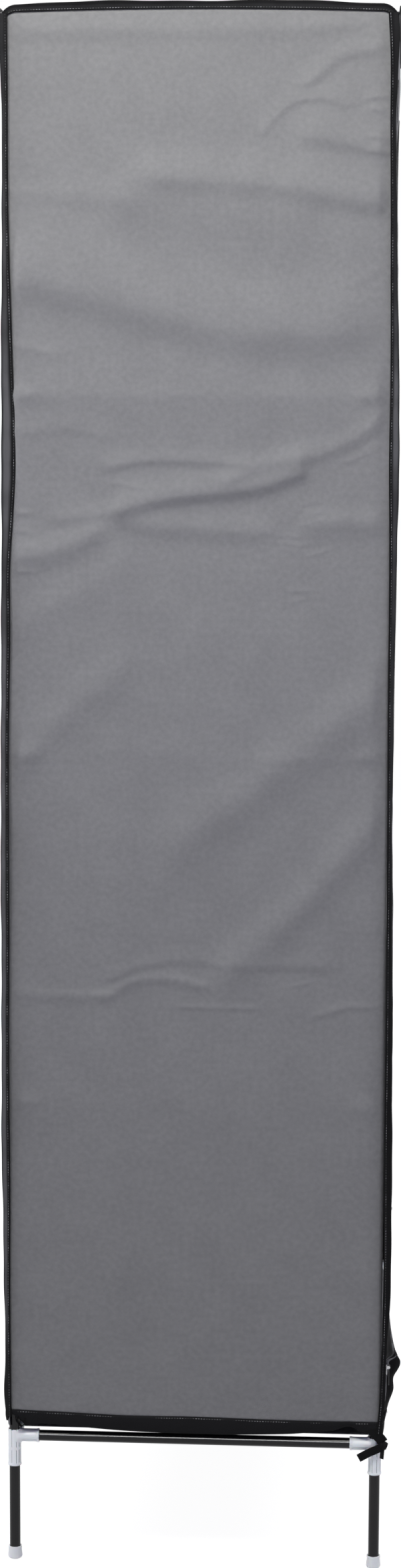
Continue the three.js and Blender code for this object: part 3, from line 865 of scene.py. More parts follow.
def relief(folds, u, v):
    """The height of all folds. Each has its sizes and a line of places. The sizes are a height,
    the widths of its slopes above and below that line, and the length over which its ends fade."""
    total = np.zeros(np.broadcast(u, v).shape)
    for (height, above, below, soft), points in folds:
        across = [point[0] for point in points]
        off = v - through(u, points)
        width = np.where(off > 0, above, below)
        fade = window(u, min(across), max(across), soft)
        total += height * fade * np.exp(-((off / width) ** 2))
    return total


def swell(u, v, size, height, phase=0.0):
    """Slow waves in the cloth, with no direction that stands out."""
    waves = 0.0
    for i, (a, b) in enumerate(wave_directions):
        waves = waves + np.sin((a * u + b * v) * 2 * math.pi / size + phase + wave_shift * i)
    return height * waves / len(wave_directions)


shown_folds = (
    (
        (0.0014, 0.01, 0.009, 0.03),
        ((0.2028, 1.749), (0.1075, 1.748), (-0.0021, 1.747), (-0.1039, 1.75), (-0.1619, 1.754)),
    ),
    (
        (0.0017, 0.014, 0.005, 0.02),
        ((-0.1226, 1.693), (-0.1406, 1.709), (-0.155, 1.72), (-0.1803, 1.727), (-0.2078, 1.73)),
    ),
    (
        (0.001, 0.012, 0.0035, 0.016),
        ((-0.0719, 1.64), (-0.0973, 1.668), (-0.1336, 1.677), (-0.1628, 1.67)),
    ),
    ((0.0009, 0.004, 0.0025, 0.01), ((-0.1867, 1.678), (-0.2084, 1.68))),
    ((0.0009, 0.004, 0.0025, 0.01), ((-0.1919, 1.666), (-0.2086, 1.663))),
    ((0.0009, 0.004, 0.0025, 0.01), ((-0.1886, 1.637), (-0.209, 1.633))),
    ((0.0009, 0.004, 0.0025, 0.01), ((-0.1924, 1.621), (-0.2092, 1.618))),
    ((0.0024, 0.018, 0.01, 0.03), ((-0.1267, 1.638), (-0.1632, 1.631), (-0.2033, 1.622))),
    (
        (0.0044, 0.024, 0.015, 0.06),
        ((0.0341, 1.595), (-0.0393, 1.59), (-0.1126, 1.582), (-0.1492, 1.575), (-0.193, 1.568)),
    ),
    ((0.0036, 0.03, 0.04, 0.06), ((0.0708, 1.575), (-0.0027, 1.568), (-0.0909, 1.55))),
    ((0.0012, 0.012, 0.01, 0.04), ((0.2036, 1.575), (0.1445, 1.573), (0.0708, 1.568))),
    (
        (0.0068, 0.046, 0.027, 0.06),
        (
            (0.2055, 1.486), (0.1744, 1.484), (0.1299, 1.473), (0.0929, 1.461), (0.0485, 1.45),
            (0.0042, 1.44), (-0.0402, 1.432), (-0.0918, 1.427), (-0.1506, 1.429),
        ),
    ),
    ((0.0012, 0.006, 0.005, 0.015), ((0.2081, 1.409), (0.1858, 1.407), (0.1598, 1.399))),
    ((0.0007, 0.003, 0.0022, 0.012), ((-0.1721, 1.479), (-0.2049, 1.495))),
    ((0.0007, 0.003, 0.0022, 0.012), ((-0.0914, 1.472), (-0.1098, 1.474))),
    ((0.001, 0.012, 0.006, 0.025), ((0.1899, 1.315), (0.1451, 1.319), (0.1004, 1.311))),
    (
        (0.0016, 0.01, 0.006, 0.02),
        ((0.0929, 1.278), (0.0706, 1.283), (0.0259, 1.285), (-0.0187, 1.283), (-0.0484, 1.281)),
    ),
    (
        (0.0022, 0.012, 0.009, 0.02),
        (
            (-0.0373, 1.266), (-0.078, 1.282), (-0.115, 1.289), (-0.1519, 1.298), (-0.1813, 1.314),
            (-0.2105, 1.337),
        ),
    ),
    ((0.0008, 0.005, 0.003, 0.012), ((-0.1668, 1.284), (-0.2072, 1.301))),
    (
        (0.0046, 0.018, 0.0105, 0.009),
        (
            (0.0855, 1.231), (0.0668, 1.236), (0.0333, 1.244), (-0.004, 1.249), (-0.0337, 1.252),
            (-0.0634, 1.256), (-0.0856, 1.262), (-0.1004, 1.268), (-0.1152, 1.272),
        ),
    ),
    ((0.0015, 0.01, 0.008, 0.02), ((0.1528, 1.219), (0.1229, 1.223), (0.0915, 1.228))),
    ((0.0008, 0.004, 0.0022, 0.008), ((0.0892, 1.258), (0.0631, 1.253))),
    (
        (0.0022, 0.014, 0.012, 0.02),
        (
            (0.0855, 1.218), (0.0481, 1.212), (-0.0041, 1.209), (-0.0339, 1.207), (-0.0637, 1.207),
            (-0.0786, 1.208),
        ),
    ),
    ((0.0026, 0.012, 0.016, 0.02), ((-0.1305, 1.214), (-0.1675, 1.218), (-0.2083, 1.215))),
    ((0.0036, 0.016, 0.016, 0.02), ((0.2093, 1.178), (0.1754, 1.18), (0.1454, 1.188), (0.1117, 1.204))),
    ((0.0009, 0.004, 0.003, 0.008), ((0.209, 1.226), (0.1903, 1.224))),
    ((0.0009, 0.004, 0.003, 0.008), ((0.2091, 1.208), (0.1889, 1.203))),
    ((0.0008, 0.004, 0.003, 0.008), ((0.2094, 1.161), (0.1868, 1.159))),
    ((0.0016, 0.022, 0.022, 0.03), ((0.2059, 1.095), (0.1531, 1.126), (0.093, 1.156))),
    ((0.00055, 0.0026, 0.0022, 0.006), ((-0.1118, 1.235), (-0.1317, 1.239))),
    ((0.0006, 0.0026, 0.0022, 0.006), ((-0.114, 1.23), (-0.1348, 1.227))),
    ((0.0006, 0.0026, 0.0022, 0.006), ((-0.1171, 1.22), (-0.1318, 1.228))),
    ((0.00055, 0.0026, 0.0022, 0.006), ((-0.1194, 1.213), (-0.1364, 1.22))),
    ((0.0005, 0.0026, 0.0022, 0.006), ((-0.0935, 1.203), (-0.1135, 1.2))),
    ((0.00055, 0.0026, 0.0022, 0.006), ((-0.092, 1.194), (-0.1203, 1.19))),
    ((0.00045, 0.0026, 0.0022, 0.006), ((-0.0973, 1.187), (-0.1174, 1.183))),
    ((0.00055, 0.003, 0.0022, 0.008), ((-0.1014, 1.14), (-0.1252, 1.14))),
    ((0.00045, 0.003, 0.0022, 0.008), ((-0.0978, 1.126), (-0.1216, 1.131))),
    ((0.00045, 0.003, 0.0022, 0.008), ((-0.1219, 1.178), (-0.1426, 1.185))),
    (
        (0.0042, 0.032, 0.038, 0.03),
        ((0.021, 0.8532), (-0.0205, 0.8821), (-0.0805, 0.9285), (-0.1401, 0.9785), (-0.1994, 1.021)),
    ),
    (
        (0.0036, 0.03, 0.03, 0.03),
        ((-0.0402, 0.7081), (-0.0817, 0.745), (-0.1192, 0.7841), (-0.1566, 0.8267), (-0.2085, 0.8869)),
    ),
    ((0.0028, 0.03, 0.026, 0.03), ((0.2066, 0.9401), (0.161, 0.9862), (0.093, 1.044))),
    (
        (0.0016, 0.005, 0.008, 0.015),
        (
            (0.1007, 0.6785), (0.0892, 0.6857), (0.0739, 0.6937), (0.0511, 0.698), (0.0206, 0.6977),
            (-0.0061, 0.6904),
        ),
    ),
    (
        (0.0012, 0.01, 0.0034, 0.025),
        (
            (0.0892, 0.6981), (0.0701, 0.7093), (0.0397, 0.716), (0.0016, 0.7189),
            (-0.0212, 0.7155), (-0.0819, 0.7134), (-0.1425, 0.7136),
        ),
    ),
    ((0.0013, 0.006, 0.008, 0.02), ((0.2117, 0.6789), (0.1619, 0.6774), (0.1007, 0.677))),
    ((0.0007, 0.004, 0.003, 0.02), ((0.0129, 0.6653), (-0.0633, 0.6651))),
    ((0.001, 0.0045, 0.004, 0.015), ((-0.1431, 0.658), (-0.1657, 0.6669), (-0.2149, 0.6685))),
    ((0.0005, 0.003, 0.0022, 0.01), ((-0.1049, 0.6891), (-0.1291, 0.6957))),
    ((0.0006, 0.003, 0.0024, 0.01), ((-0.0866, 0.5932), (-0.1017, 0.6021), (-0.1146, 0.6171))),
    ((0.0005, 0.003, 0.0025, 0.025), ((-0.0503, 0.9501), (-0.1853, 0.9518))),
)
far_folds = (
    ((0.0044, 0.03, 0.02, 0.05), ((0.2, 1.62), (0.05, 1.66), (-0.15, 1.65))),
    ((0.0048, 0.04, 0.022, 0.05), ((0.15, 1.43), (-0.05, 1.4), (-0.2, 1.44))),
    ((0.004, 0.03, 0.012, 0.03), ((0.12, 1.14), (0.0, 1.15), (-0.1, 1.13))),
    ((0.0022, 0.02, 0.014, 0.04), ((0.2, 0.88), (0.06, 0.9))),
    ((0.0032, 0.022, 0.014, 0.04), ((0.03, 0.7), (-0.16, 0.66))),
    ((0.0024, 0.024, 0.016, 0.05), ((0.14, 0.42), (-0.08, 0.4))),
)
hem_rise = (
    (-0.216, 0.0055), (-0.198, 0.0065), (-0.182, 0.014), (-0.163, 0.0095), (-0.12, 0.004),
    (-0.07, 0.0015), (0.0, 0.0005), (0.089, 0.0025), (0.148, 0.0065), (0.1775, 0.0085),
    (0.197, 0.0075), (0.204, 0.0135), (0.208, 0.0175), (0.216, 0.018),
)


def presses(u, v):
    """Where the sockets press the cloth out beside both corners, and rails lift it all across."""
    along = window(np.abs(u), half_depth - arm_reach, half_depth, press_soft)
    total = 0.0
    for tier, height, above, below in rail_ridges:
        off = v - levels[tier]
        total = total + height * np.exp(-np.abs(off) / np.where(off > 0, above, below))
        total = total + press_height * along * np.exp(-((off / press_width) ** 2))
    return total


def packed_crease(u, v):
    ridge = np.exp(-np.abs(u - packing_place) / packing_width)
    return packing_height * ridge * window(v, *packing_span, foot_flat)


def seam_height(u):
    """The top seam of an end, which arches between the corners."""
    return seam_level + seam_arch * np.maximum(0, 1 - (u / half_depth) ** 2)


def rows_between(low, high, coarse, fine, zones):
    """Rows of a grid, closer together in the zones that have crisp creases."""
    edges = sorted({low, high, *(edge for zone in zones for edge in zone)})
    rows = [np.array([low])]
    for start, end in zip(edges, edges[1:]):
        cell = fine if (start, end) in zones else coarse
        rows.append(steps(start, end, cell)[1:])
    return np.concatenate(rows)


def end_cloth(side, side_x, us, vs, folds, phase):
    def place(u, v):
        edge = eased((half_depth - np.abs(u)) / end_flat) * eased((seam_level - v) / end_flat)
        loose = edge * (foot_share + (1 - foot_share) * eased((v - hem_low) / foot_flat))
        out = relief(folds, u, v) * fold_share + presses(u, v) + packed_crease(u, v) + end_slack
        out = out + swell(u, v, *broad_swell, phase) + swell(u, v, *fine_swell, phase + 1)
        round_off = np.maximum(np.abs(u) - half_depth, 0) ** 2 / (2 * socket_radius)
        x = end_inner + cloth_thickness + np.maximum(out * loose, 0) - round_off
        top = (seam_height(u) - seam_level) * eased((v - arch_foot) / (seam_level - arch_foot))
        low = (through(u, hem_rise) + hem_drop) * eased((hem_blend_top - v) / hem_blend)
        return side_x * x, u, v + top + low

    piece = cloth(f"end_cloth_{side}", us * side_x, vs, place)
    return stands_for(piece, "wardrobe", "cover_cloth", f"end_panel_{side}")


shown_columns = steps(-corner_reach, corner_reach, shown_cell)
shown_rows = rows_between(hem_low, seam_level, shown_row, shown_fine_row, crisp_zones)
far_columns = steps(-corner_reach, corner_reach, far_cell)
far_rows = steps(hem_low, seam_level, far_row)
end_cloths = {
    "left": end_cloth("left", -1, shown_columns, shown_rows, shown_folds, 0.0),
    "right": end_cloth("right", 1, far_columns, far_rows, far_folds, far_phase),
}


# Back, top and front of the cover
# The same cloth: one piece at the back, one over the top, and at the front a header over the
# doorway with a narrow strip down each side of it. The zips' slack makes the strips bulge.
wide_cell = 0.009
wide_row = 0.007
strip_cell = 0.0035
tuck_depth = 0.003
header_in, header_span, header_ease = 0.0011, 0.3, 0.05
header_foot, header_rise = 1.7, 0.02
seam_ease, side_ease = 0.05, 0.03
back_rise, back_stand = 0.003, 0.0016
back_swell, door_swell, top_swell = (0.42, 0.0014, 0.7), (0.24, 0.0006, 1.1), (0.26, 0.0006)
top_level, top_stand, top_dip = 1.77, 0.0012, 0.0062
corner_power = 24
door_out_share = 0.5
back_slack = (
    (0.16, 0.2172), (0.2, 0.2188), (0.35, 0.2196), (0.51, 0.2212), (0.82, 0.2206), (1.09, 0.2192),
    (1.35, 0.2183), (1.45, 0.217), (1.69, 0.2168), (1.735, 0.2184), (1.77, 0.2184),
)
front_slack = (
    (0.16, 0.2168), (0.19, 0.2193), (0.24, 0.2205), (0.36, 0.2218), (0.52, 0.2226),
    (0.67, 0.2212), (0.78, 0.2189), (0.86, 0.2196), (0.98, 0.22), (1.1, 0.2209), (1.2, 0.2206),
    (1.26, 0.2214), (1.36, 0.2213), (1.44, 0.2191), (1.52, 0.2169), (1.69, 0.2169),
    (1.735, 0.2182), (1.77, 0.2182),
)
zip_line = centre("zip_slider_right").x
slider_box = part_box("zip_slider_right")
slider_low, slider_high = slider_box[0].z, slider_box[1].z
slack_apart, slack_beside = 0.0065, 0.0125
slack_width, slack_steep = 0.0145, 0.0045
far_slack = 0.3
slack_closes = 0.018
slack_rows = 0.04
slack_row = 0.0014
zip_slack = (
    (slider_low - 0.064, 0),
    (slider_low - 0.055, 0.0026),
    (slider_low - 0.039, 0.0055),
    (slider_low - 0.023, 0.0105),
    (slider_low - 0.0065, 0.0112),
    (slider_low + 0.0016, 0.0158),
    (slider_low + 0.0065, 0.018),
    (slider_high - 0.0007, 0.0183),
    (slider_high + 0.0058, 0.0153),
    (slider_high + 0.018, 0.0103),
    (slider_high + 0.03, 0.0074),
    (slider_high + 0.055, 0.0036),
    (slider_high + 0.09, 0.001),
    (slider_high + 0.12, 0),
)
door_hollow = 0.0036
rail_reach = 0.05
back_folds = (
    ((0.004, 0.036, 0.024, 0.1), ((-0.3, 1.6), (-0.1, 1.56), (0.2, 1.58))),
    ((0.004, 0.04, 0.026, 0.1), ((0.3, 1.42), (0.0, 1.36), (-0.25, 1.38))),
    ((0.0045, 0.036, 0.018, 0.1), ((-0.2, 1.1), (0.1, 1.13), (0.3, 1.11))),
    ((0.004, 0.034, 0.022, 0.1), ((0.2, 0.8), (-0.1, 0.77), (-0.3, 0.8))),
    ((0.0035, 0.038, 0.024, 0.1), ((-0.1, 0.45), (0.25, 0.48))),
)
door_folds = (
    ((0.003, 0.036, 0.02, 0.1), ((-0.3, 1.42), (-0.05, 1.46), (0.2, 1.44))),
    ((0.0032, 0.034, 0.018, 0.1), ((0.3, 1.2), (0.1, 1.15), (-0.2, 1.17))),
    ((0.0032, 0.032, 0.018, 0.1), ((-0.28, 0.9), (0.0, 0.93), (0.2, 0.9))),
    ((0.003, 0.034, 0.02, 0.1), ((0.25, 0.62), (-0.05, 0.58), (-0.25, 0.6))),
    ((0.0026, 0.034, 0.022, 0.1), ((-0.2, 0.36), (0.15, 0.34))),
)


def corner_tuck(u):
    """How far the front and the back draw in round the sockets at the corners."""
    return tuck_depth * np.clip((np.abs(u) - half_width) / (half_back - half_width), 0, 1) ** 2


def front_stand(u, v):
    """How far the front of the cover stands from the middle. Above the sliders the closed zips
    bulge with the cloth on both sides, and below them only the door's side does."""
    inside = (v > zip_slack[0][0]) & (v < zip_slack[-1][0])
    closed = eased((v - slider_high) / slack_closes)
    middle = zip_line - slack_beside + (slack_beside - slack_apart) * closed
    steep = slack_steep + (slack_width - slack_steep) * closed
    apart = np.abs(u) - middle
    width = np.where(apart > 0, steep, slack_width)
    slack = through(v, zip_slack) * np.exp(-((apart / width) ** 2)) * np.where(u < 0, 1, far_slack)
    return through(v, front_slack) + np.where(inside, slack, 0) - corner_tuck(u) - header_stand(u, v)


def header_stand(u, v):
    """The header lies against the rail between the sockets."""
    share = eased((header_span - np.abs(u)) / header_ease) * eased((v - header_foot) / header_rise)
    return header_in * share


def clear_of_rails(v):
    """0 at the heights of the front's rails, and 1 away from them."""
    share = np.ones_like(v)
    for tier in ("bottom", "shelf", "top"):
        share = share * (1 - np.exp(-(((v - levels[tier]) / rail_reach) ** 2)))
    return share


def back_cloth():
    def place(u, v):
        edge = eased((half_width - np.abs(u)) / seam_ease) * eased((seam_level - v) / seam_ease)
        out = relief(back_folds, u, v) + swell(u, v, *back_swell) + back_stand
        return u, through(v, back_slack) - corner_tuck(u) + np.maximum(out * edge, 0), v

    us = steps(half_back, -half_back, wide_cell)
    piece = cloth("back_cloth", us, steps(hem_low + back_rise, seam_level, wide_row), place)
    return stands_for(piece, "wardrobe", "cover_cloth", "back_panel")


def top_cloth():
    half_x = end_inner
    half_y = through(top_level, back_slack)
    flat_x, flat_y = half_width - arm_reach, half_depth - arm_reach
    rest = levels["top"] + socket_radius + top_stand

    def place(u, v):
        deep = np.maximum(0, 1 - (u / flat_x) ** 2) * np.maximum(0, 1 - (v / flat_y) ** 2)
        lift = (np.abs(u) / half_x) ** corner_power * (seam_height(v) - rest)
        return u, v, rest - top_dip * deep + swell(u, v, *top_swell) * (deep > 0) + lift

    us = steps(-half_x, half_x, wide_cell)
    piece = cloth("top_cloth", us, steps(-half_y, half_y, wide_cell), place)
    stands_for(piece, "wardrobe", "cover_cloth", "top_panel")
    2 * half_y


def front_shape(low, high, folds=(), stand=0.0):
    """The place of a sheet of the front, or of what lies on it and stands this far from it."""
    hollow = door_hollow if folds else 0

    def place(u, v):
        edge = eased((u - low.x) / side_ease) * eased((high.x - u) / side_ease)
        edge = edge * eased((high.z - v) / seam_ease) * eased((v - low.z) / seam_ease)
        out = relief(folds, u, v) + swell(u, v, *door_swell) - hollow
        out = out * np.where(out > 0, door_out_share, clear_of_rails(v))
        return u, -front_stand(u, v) - out * edge - stand, v

    return place


def front_rows(low, high, row):
    """Rows of the front, closer together round the sliders."""
    zone = (slider_low - slack_rows, slider_high + slack_rows)
    if low > zone[0] or high < zone[1]:
        return steps(low, high, row)
    return rows_between(low, high, row, slack_row, (zone,))


def front_cloth(name, node, low, high, cells, folds=()):
    place = front_shape(low, high, folds)
    rows = front_rows(low.z, high.z, cells[1])
    piece = cloth(name, steps(low.x, high.x, cells[0]), rows, place)
    stands_for(piece, "wardrobe", "cover_cloth", node)
    return piece


back = back_cloth()
top_cloth()
header_low, header_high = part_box("front_header")
header_low.x, header_high.x, header_high.z = -end_inner, end_inner, seam_level
header_cells = (wide_cell, wide_row)
header = front_cloth("header_cloth", "front_header", header_low, header_high, header_cells)
strip_boxes = {side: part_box(f"front_strip_{side}") for side, _ in sides}
strip_cells = (strip_cell, strip_cell)
strip_cloths = {
    side: front_cloth(f"strip_cloth_{side}", f"front_strip_{side}", low, high, strip_cells)
    for side, (low, high) in strip_boxes.items()
}


# Door
# One panel of the same cloth, sewn to the header's lower edge. Its sides carry half of each zip
# and its foot a wide hem. It rolls up under the header, where the cloth gathers into a bundle.
door_low, door_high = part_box("door_panel")
door_cell, door_row = 0.0065, 0.0045


def rolls_up(piece):
    """The piece gets a mesh of its own."""
    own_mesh(piece)
    return piece


door = front_cloth("door_cloth", "door_panel", door_low, door_high, (door_cell, door_row), door_folds)
rolls_up(door)


# Binding tapes
# Black tape folded over every seam of the cover and sewn through. At the corners it lies over
# the edge of the ends and lifts off here and there; along the top it stands up as a ridge.
tape_colour = (0.0045, 0.0045, 0.0049, 1)
# The paler colour: a painted highlight on the tape's face, and random pale strays.
tape_stray_and_highlight = (0.088, 0.088, 0.09, 1)
tape_roughness = 0.7
tape_gloss = 0.06
tape_rib = 0.0009
tape_depth = 0.00012
tape_cell = 0.004
tape_sides = 24
tape_thickness = 0.0017
stitch_inset = 0.0022
tape_sharp = math.radians(60)
tape_round = 0.6
tape_ribs, tape_yarn, tape_level, tape_uneven = 0.12, 0.5, 0.25, 0.1
tape_sheen, tape_sheen_spread = 0.012, 0.4
tape_cloud = 0.03
# How strongly the painted highlight lightens the tape's face, and the random pale strays.
tape_bare, tape_bare_cloud, tape_stray, tape_stray_start = 0.65, 0.7, 0.12, 0.055
# Where the painted highlight lies across a tape's outer face.
highlight_peak, highlight_offset, highlight_width = 1.3, 0.28, 0.52
far_corner_in, far_corner_line = 0.0017, 0.2188
corner_x = end_inner + 0.0018


def ribbed_tape(name, colour, face):
    """Woven tape: fine ribs across its length. Its paler colour is a painted highlight on its outer
    face, where the attribute gives it, with pale strays at random.
    """
    material, nodes = material_of(name)
    cut = nodes.add("ShaderNodeUVMap", {"uv_map": "cut"})
    place = nodes.add("ShaderNodeSeparateXYZ", {}, {0: cut})
    turn = 2 * math.pi / tape_rib
    ribs = nodes.add("ShaderNodeMath", {"operation": "SINE"}, {0: place["Y"] * turn})
    yarn = noise(nodes, tape_rib / 2, 2.0, cut)
    height = ribs * tape_ribs + tape_level + yarn * tape_yarn
    # A painted highlight lightens the face where the attribute says, patchy with the cloud; pale strays
    # come in at random.
    bare = nodes.add("ShaderNodeAttribute", {"attribute_name": "bare"})["Fac"]
    cloud = noise(nodes, tape_cloud, fibre_detail, cut)
    shown = bare * (tape_bare + cloud * tape_bare_cloud)
    highlight_and_strays = (shown + cloud * tape_stray - tape_stray_start).clamped()
    surface(
        nodes,
        Base_Color=mixed(nodes, highlight_and_strays, colour, face),
        Roughness=tape_roughness + tape_uneven * (height - 0.5),
        Normal=bumped(nodes, height, tape_depth),
        Specular_IOR_Level=tape_gloss,
        Sheen_Weight=tape_sheen,
        Sheen_Roughness=tape_sheen_spread,
    )
    return material


black_tape = ribbed_tape("black_tape", tape_colour, tape_stray_and_highlight)


def facing_out(mesh):
    """The mesh with all its faces turned outwards."""
    shape = bmesh.new()
    shape.from_mesh(mesh)
    bmesh.ops.recalc_face_normals(shape, faces=shape.faces)
    shape.to_mesh(mesh)
    shape.free()
    return mesh


def swept(name, path, across, out, width, thickness, material, body="wardrobe", bare=0.0):
    """A tape with rounded edges along a path. It reaches from the path to its width across. The last
    argument is how strongly a painted highlight lightens its outer face along the path, from 0 to 1."""
    path, across, out = (np.asarray(values, float) for values in (path, across, out))
    count = len(path)
    width = np.broadcast_to(width, count)
    turns = np.arange(tape_sides) * 2 * math.pi / tape_sides
    wide = np.sign(np.cos(turns)) * np.abs(np.cos(turns)) ** tape_round
    deep = np.sign(np.sin(turns)) * np.abs(np.sin(turns)) ** tape_round
    over = (wide + 1) / 2 * width[:, None]
    off = np.broadcast_to(deep / 2 * thickness, over.shape)
    points = path[:, None] + across[:, None] * over[..., None] + out[:, None] * off[..., None]
    strides = np.linalg.norm(np.diff(path, axis=0), axis=1)
    along = np.concatenate(([0], np.cumsum(strides)))
    cuts = np.stack((over, np.broadcast_to(along[:, None], over.shape)), axis=-1)
    ring = np.arange(tape_sides)
    base = np.arange(count - 1)[:, None] * tape_sides
    first, second = (base + ring).ravel(), (base + (ring + 1) % tape_sides).ravel()
    quads = np.stack((first, second, second + tape_sides, first + tape_sides), axis=-1)
    faces_of_ends = [ring[::-1].tolist(), (ring + (count - 1) * tape_sides).tolist()]
    mesh = mesh_of(name, points.reshape(-1, 3), quads, material, cuts.reshape(-1, 2), faces_of_ends)
    # face is the band of painted highlight across the tape's outer side, and the share below is how much
    # of it shows.
    face = np.clip(highlight_peak - ((wide + highlight_offset) / highlight_width) ** 2, 0, 1) * (deep > 0)
    shown = (np.broadcast_to(bare, count)[:, None] * face).ravel()
    mesh.attributes.new("bare", "FLOAT", "POINT").data.foreach_set("value", shown)
    piece = smoothed(linked(name, facing_out(mesh)), tape_sharp)
    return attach(piece, body)


def unit(vectors):
    return vectors / np.linalg.norm(vectors, axis=-1, keepdims=True)


def columns(*values):
    return np.stack(np.broadcast_arrays(*values), axis=-1)


# The last rows of each table give, by height, how strongly a painted highlight lightens the tape's face.
back_corner = {
    "seam": (
        (0.176, 0.2185), (0.21, 0.2206), (0.24, 0.2196), (0.35, 0.2203), (0.51, 0.2221),
        (0.67, 0.2212), (0.82, 0.2214), (0.97, 0.2204), (1.09, 0.2195), (1.27, 0.2184),
        (1.35, 0.2183), (1.43, 0.2178), (1.5, 0.2169), (1.7, 0.2169), (1.74, 0.2185),
        (1.77, 0.2186),
    ),
    "edge": (
        (0.176, 0.2125), (0.51, 0.2121), (0.82, 0.2109), (0.97, 0.2103), (1.09, 0.2088),
        (1.17, 0.2088), (1.22, 0.2052), (1.27, 0.2022), (1.33, 0.2022), (1.38, 0.2043),
        (1.44, 0.2062), (1.5, 0.2079), (1.7, 0.2087), (1.77, 0.2095),
    ),
    "lean": ((0.17, 0.4), (1.15, 0.4), (1.215, 0.2), (1.41, 0.22), (1.46, 0.45), (1.77, 0.5)),
    "bare": (
        (0.176, 0.1), (0.25, 0.15), (0.3, 0.6), (0.36, 0.95), (0.5, 1.05), (0.66, 1.1),
        (0.8, 0.85), (0.95, 0.9), (1.06, 0.95), (1.1, 0.65), (1.15, 0.35), (1.2, 0.6),
        (1.25, 1.0), (1.33, 1.05), (1.38, 0.85), (1.44, 0.45), (1.52, 0.45), (1.6, 0.25),
        (1.77, 0.12),
    ),
}
front_corner = {
    "seam": (
        (0.166, 0.2165), (0.19, 0.2195), (0.225, 0.2218), (0.265, 0.2226), (0.31, 0.2252),
        (0.36, 0.2261), (0.52, 0.2256), (0.67, 0.2239), (0.83, 0.2213), (0.98, 0.2213),
        (1.09, 0.2216), (1.2, 0.2232), (1.35, 0.2235), (1.42, 0.2215), (1.5, 0.2192),
        (1.58, 0.2169), (1.7, 0.2169), (1.74, 0.2184), (1.77, 0.2178),
    ),
    "edge": (
        (0.166, 0.2115), (0.193, 0.2137), (0.25, 0.2162), (0.31, 0.2179), (0.52, 0.2163),
        (0.67, 0.2171), (0.83, 0.2157), (0.98, 0.2153), (1.2, 0.2136), (1.28, 0.2127),
        (1.35, 0.2134), (1.5, 0.2114), (1.64, 0.2101), (1.74, 0.2084), (1.77, 0.206),
    ),
    "lean": ((0.17, 0.45), (1.1, 0.5), (1.25, 0.2), (1.4, 0.15), (1.5, 0.5), (1.77, 0.6)),
    "bare": (
        (0.166, 0.0), (0.8, 0.02), (0.95, 0.2), (1.1, 0.3), (1.19, 0.45), (1.25, 0.5),
        (1.3, 1.05), (1.36, 1.0), (1.4, 0.6), (1.46, 0.3), (1.55, 0.1), (1.77, 0.08),
    ),
}
seam_top = 0.001
seam_waves = ((0.0003, 41, 0), (0.0002, 97, 1))
edge_wave, lean_wave = (0.0004, 19), (0.08, 23)
bare_wave, bare_wave_across = (0.15, 130), 47
end_tape_span = (-0.2145, 0.2125)
end_tape_bend, end_tape_bend_length, end_tape_drop = 0.2, 0.014, 0.0075
end_tape_width, end_tape_waves, end_tape_narrows = 0.0092, ((0.0008, 31), (0.0003, 83)), 0.35
end_tape_tilt, end_tape_tilt_wave = 0.2, (0.1, 17)
long_tape_lean, long_tape_lean_wave = 1.42, (0.07, 13)
long_tape_down, long_tape_wave, long_tape_width = 0.0025, (0.0007, 9), 0.009
# How strongly a painted highlight lightens the top tapes' faces.
top_tape_bare = 0.12


def wave(place, height, turns, phase=0):
    return height * np.sin(place * turns + phase)


def corner_tape(name, side_x, side_y, shape):
    """From the seam at the corner in over the end, with its edge leaning out from the cloth."""
    z = steps(shape["seam"][0][0], seam_level - seam_top, tape_cell)
    seam = through(z, shape["seam"]) + sum(wave(z, *sizes) for sizes in seam_waves)
    if side_x > 0 > side_y:
        seam = np.minimum(seam, np.maximum(seam - far_corner_in, far_corner_line))
    edge = through(z, shape["edge"]) + wave(z, *edge_wave, 2 * side_y)
    lean = through(z, shape["lean"]) + wave(z, *lean_wave, side_y)
    path = columns(side_x * corner_x, side_y * seam, z)
    across = columns(side_x * np.sin(lean), -side_y * np.cos(lean), 0)
    out = columns(side_x * np.cos(lean), side_y * np.sin(lean), 0)
    width = (seam - edge) / np.cos(lean)
    # A painted highlight, in waves along and across the tape.
    bare = through(z, shape["bare"]) * (1 + wave(z, *bare_wave) * np.sin(z * bare_wave_across))
    swept(name, path, across, out, width, tape_thickness, black_tape, bare=bare)
    return path + across * (width - stitch_inset)[:, None] + out * tape_thickness / 2


def end_top_tape(side, side_x):
    """Along the top of an end. It arches with the seam and turns down over both corners."""
    y = steps(*end_tape_span, tape_cell / 2)
    ends = np.clip((np.abs(y) - end_tape_bend) / end_tape_bend_length, 0, 1)
    z = seam_height(y) - end_tape_drop * ends ** 2
    (broad, broad_turns), (small, small_turns) = end_tape_waves
    width = end_tape_width - broad * np.cos(y * broad_turns) + wave(y, small, small_turns)
    width = width * (1 - end_tape_narrows * ends ** 2)
    path = columns(side_x * corner_x, y, z)
    tangent = unit(np.gradient(path, axis=0))
    rise = unit(columns(0, -tangent[:, 2], tangent[:, 1]))
    tilt = (end_tape_tilt + wave(y, *end_tape_tilt_wave))[:, None]
    facing = np.array((side_x, 0, 0))
    across = rise * np.cos(tilt) + facing * np.sin(tilt)
    out = facing * np.cos(tilt) - rise * np.sin(tilt)
    name = f"top_tape_{side}"
    swept(name, path, across, out, width, tape_thickness, black_tape, bare=top_tape_bare)
    return path + across * stitch_inset + out * tape_thickness / 2


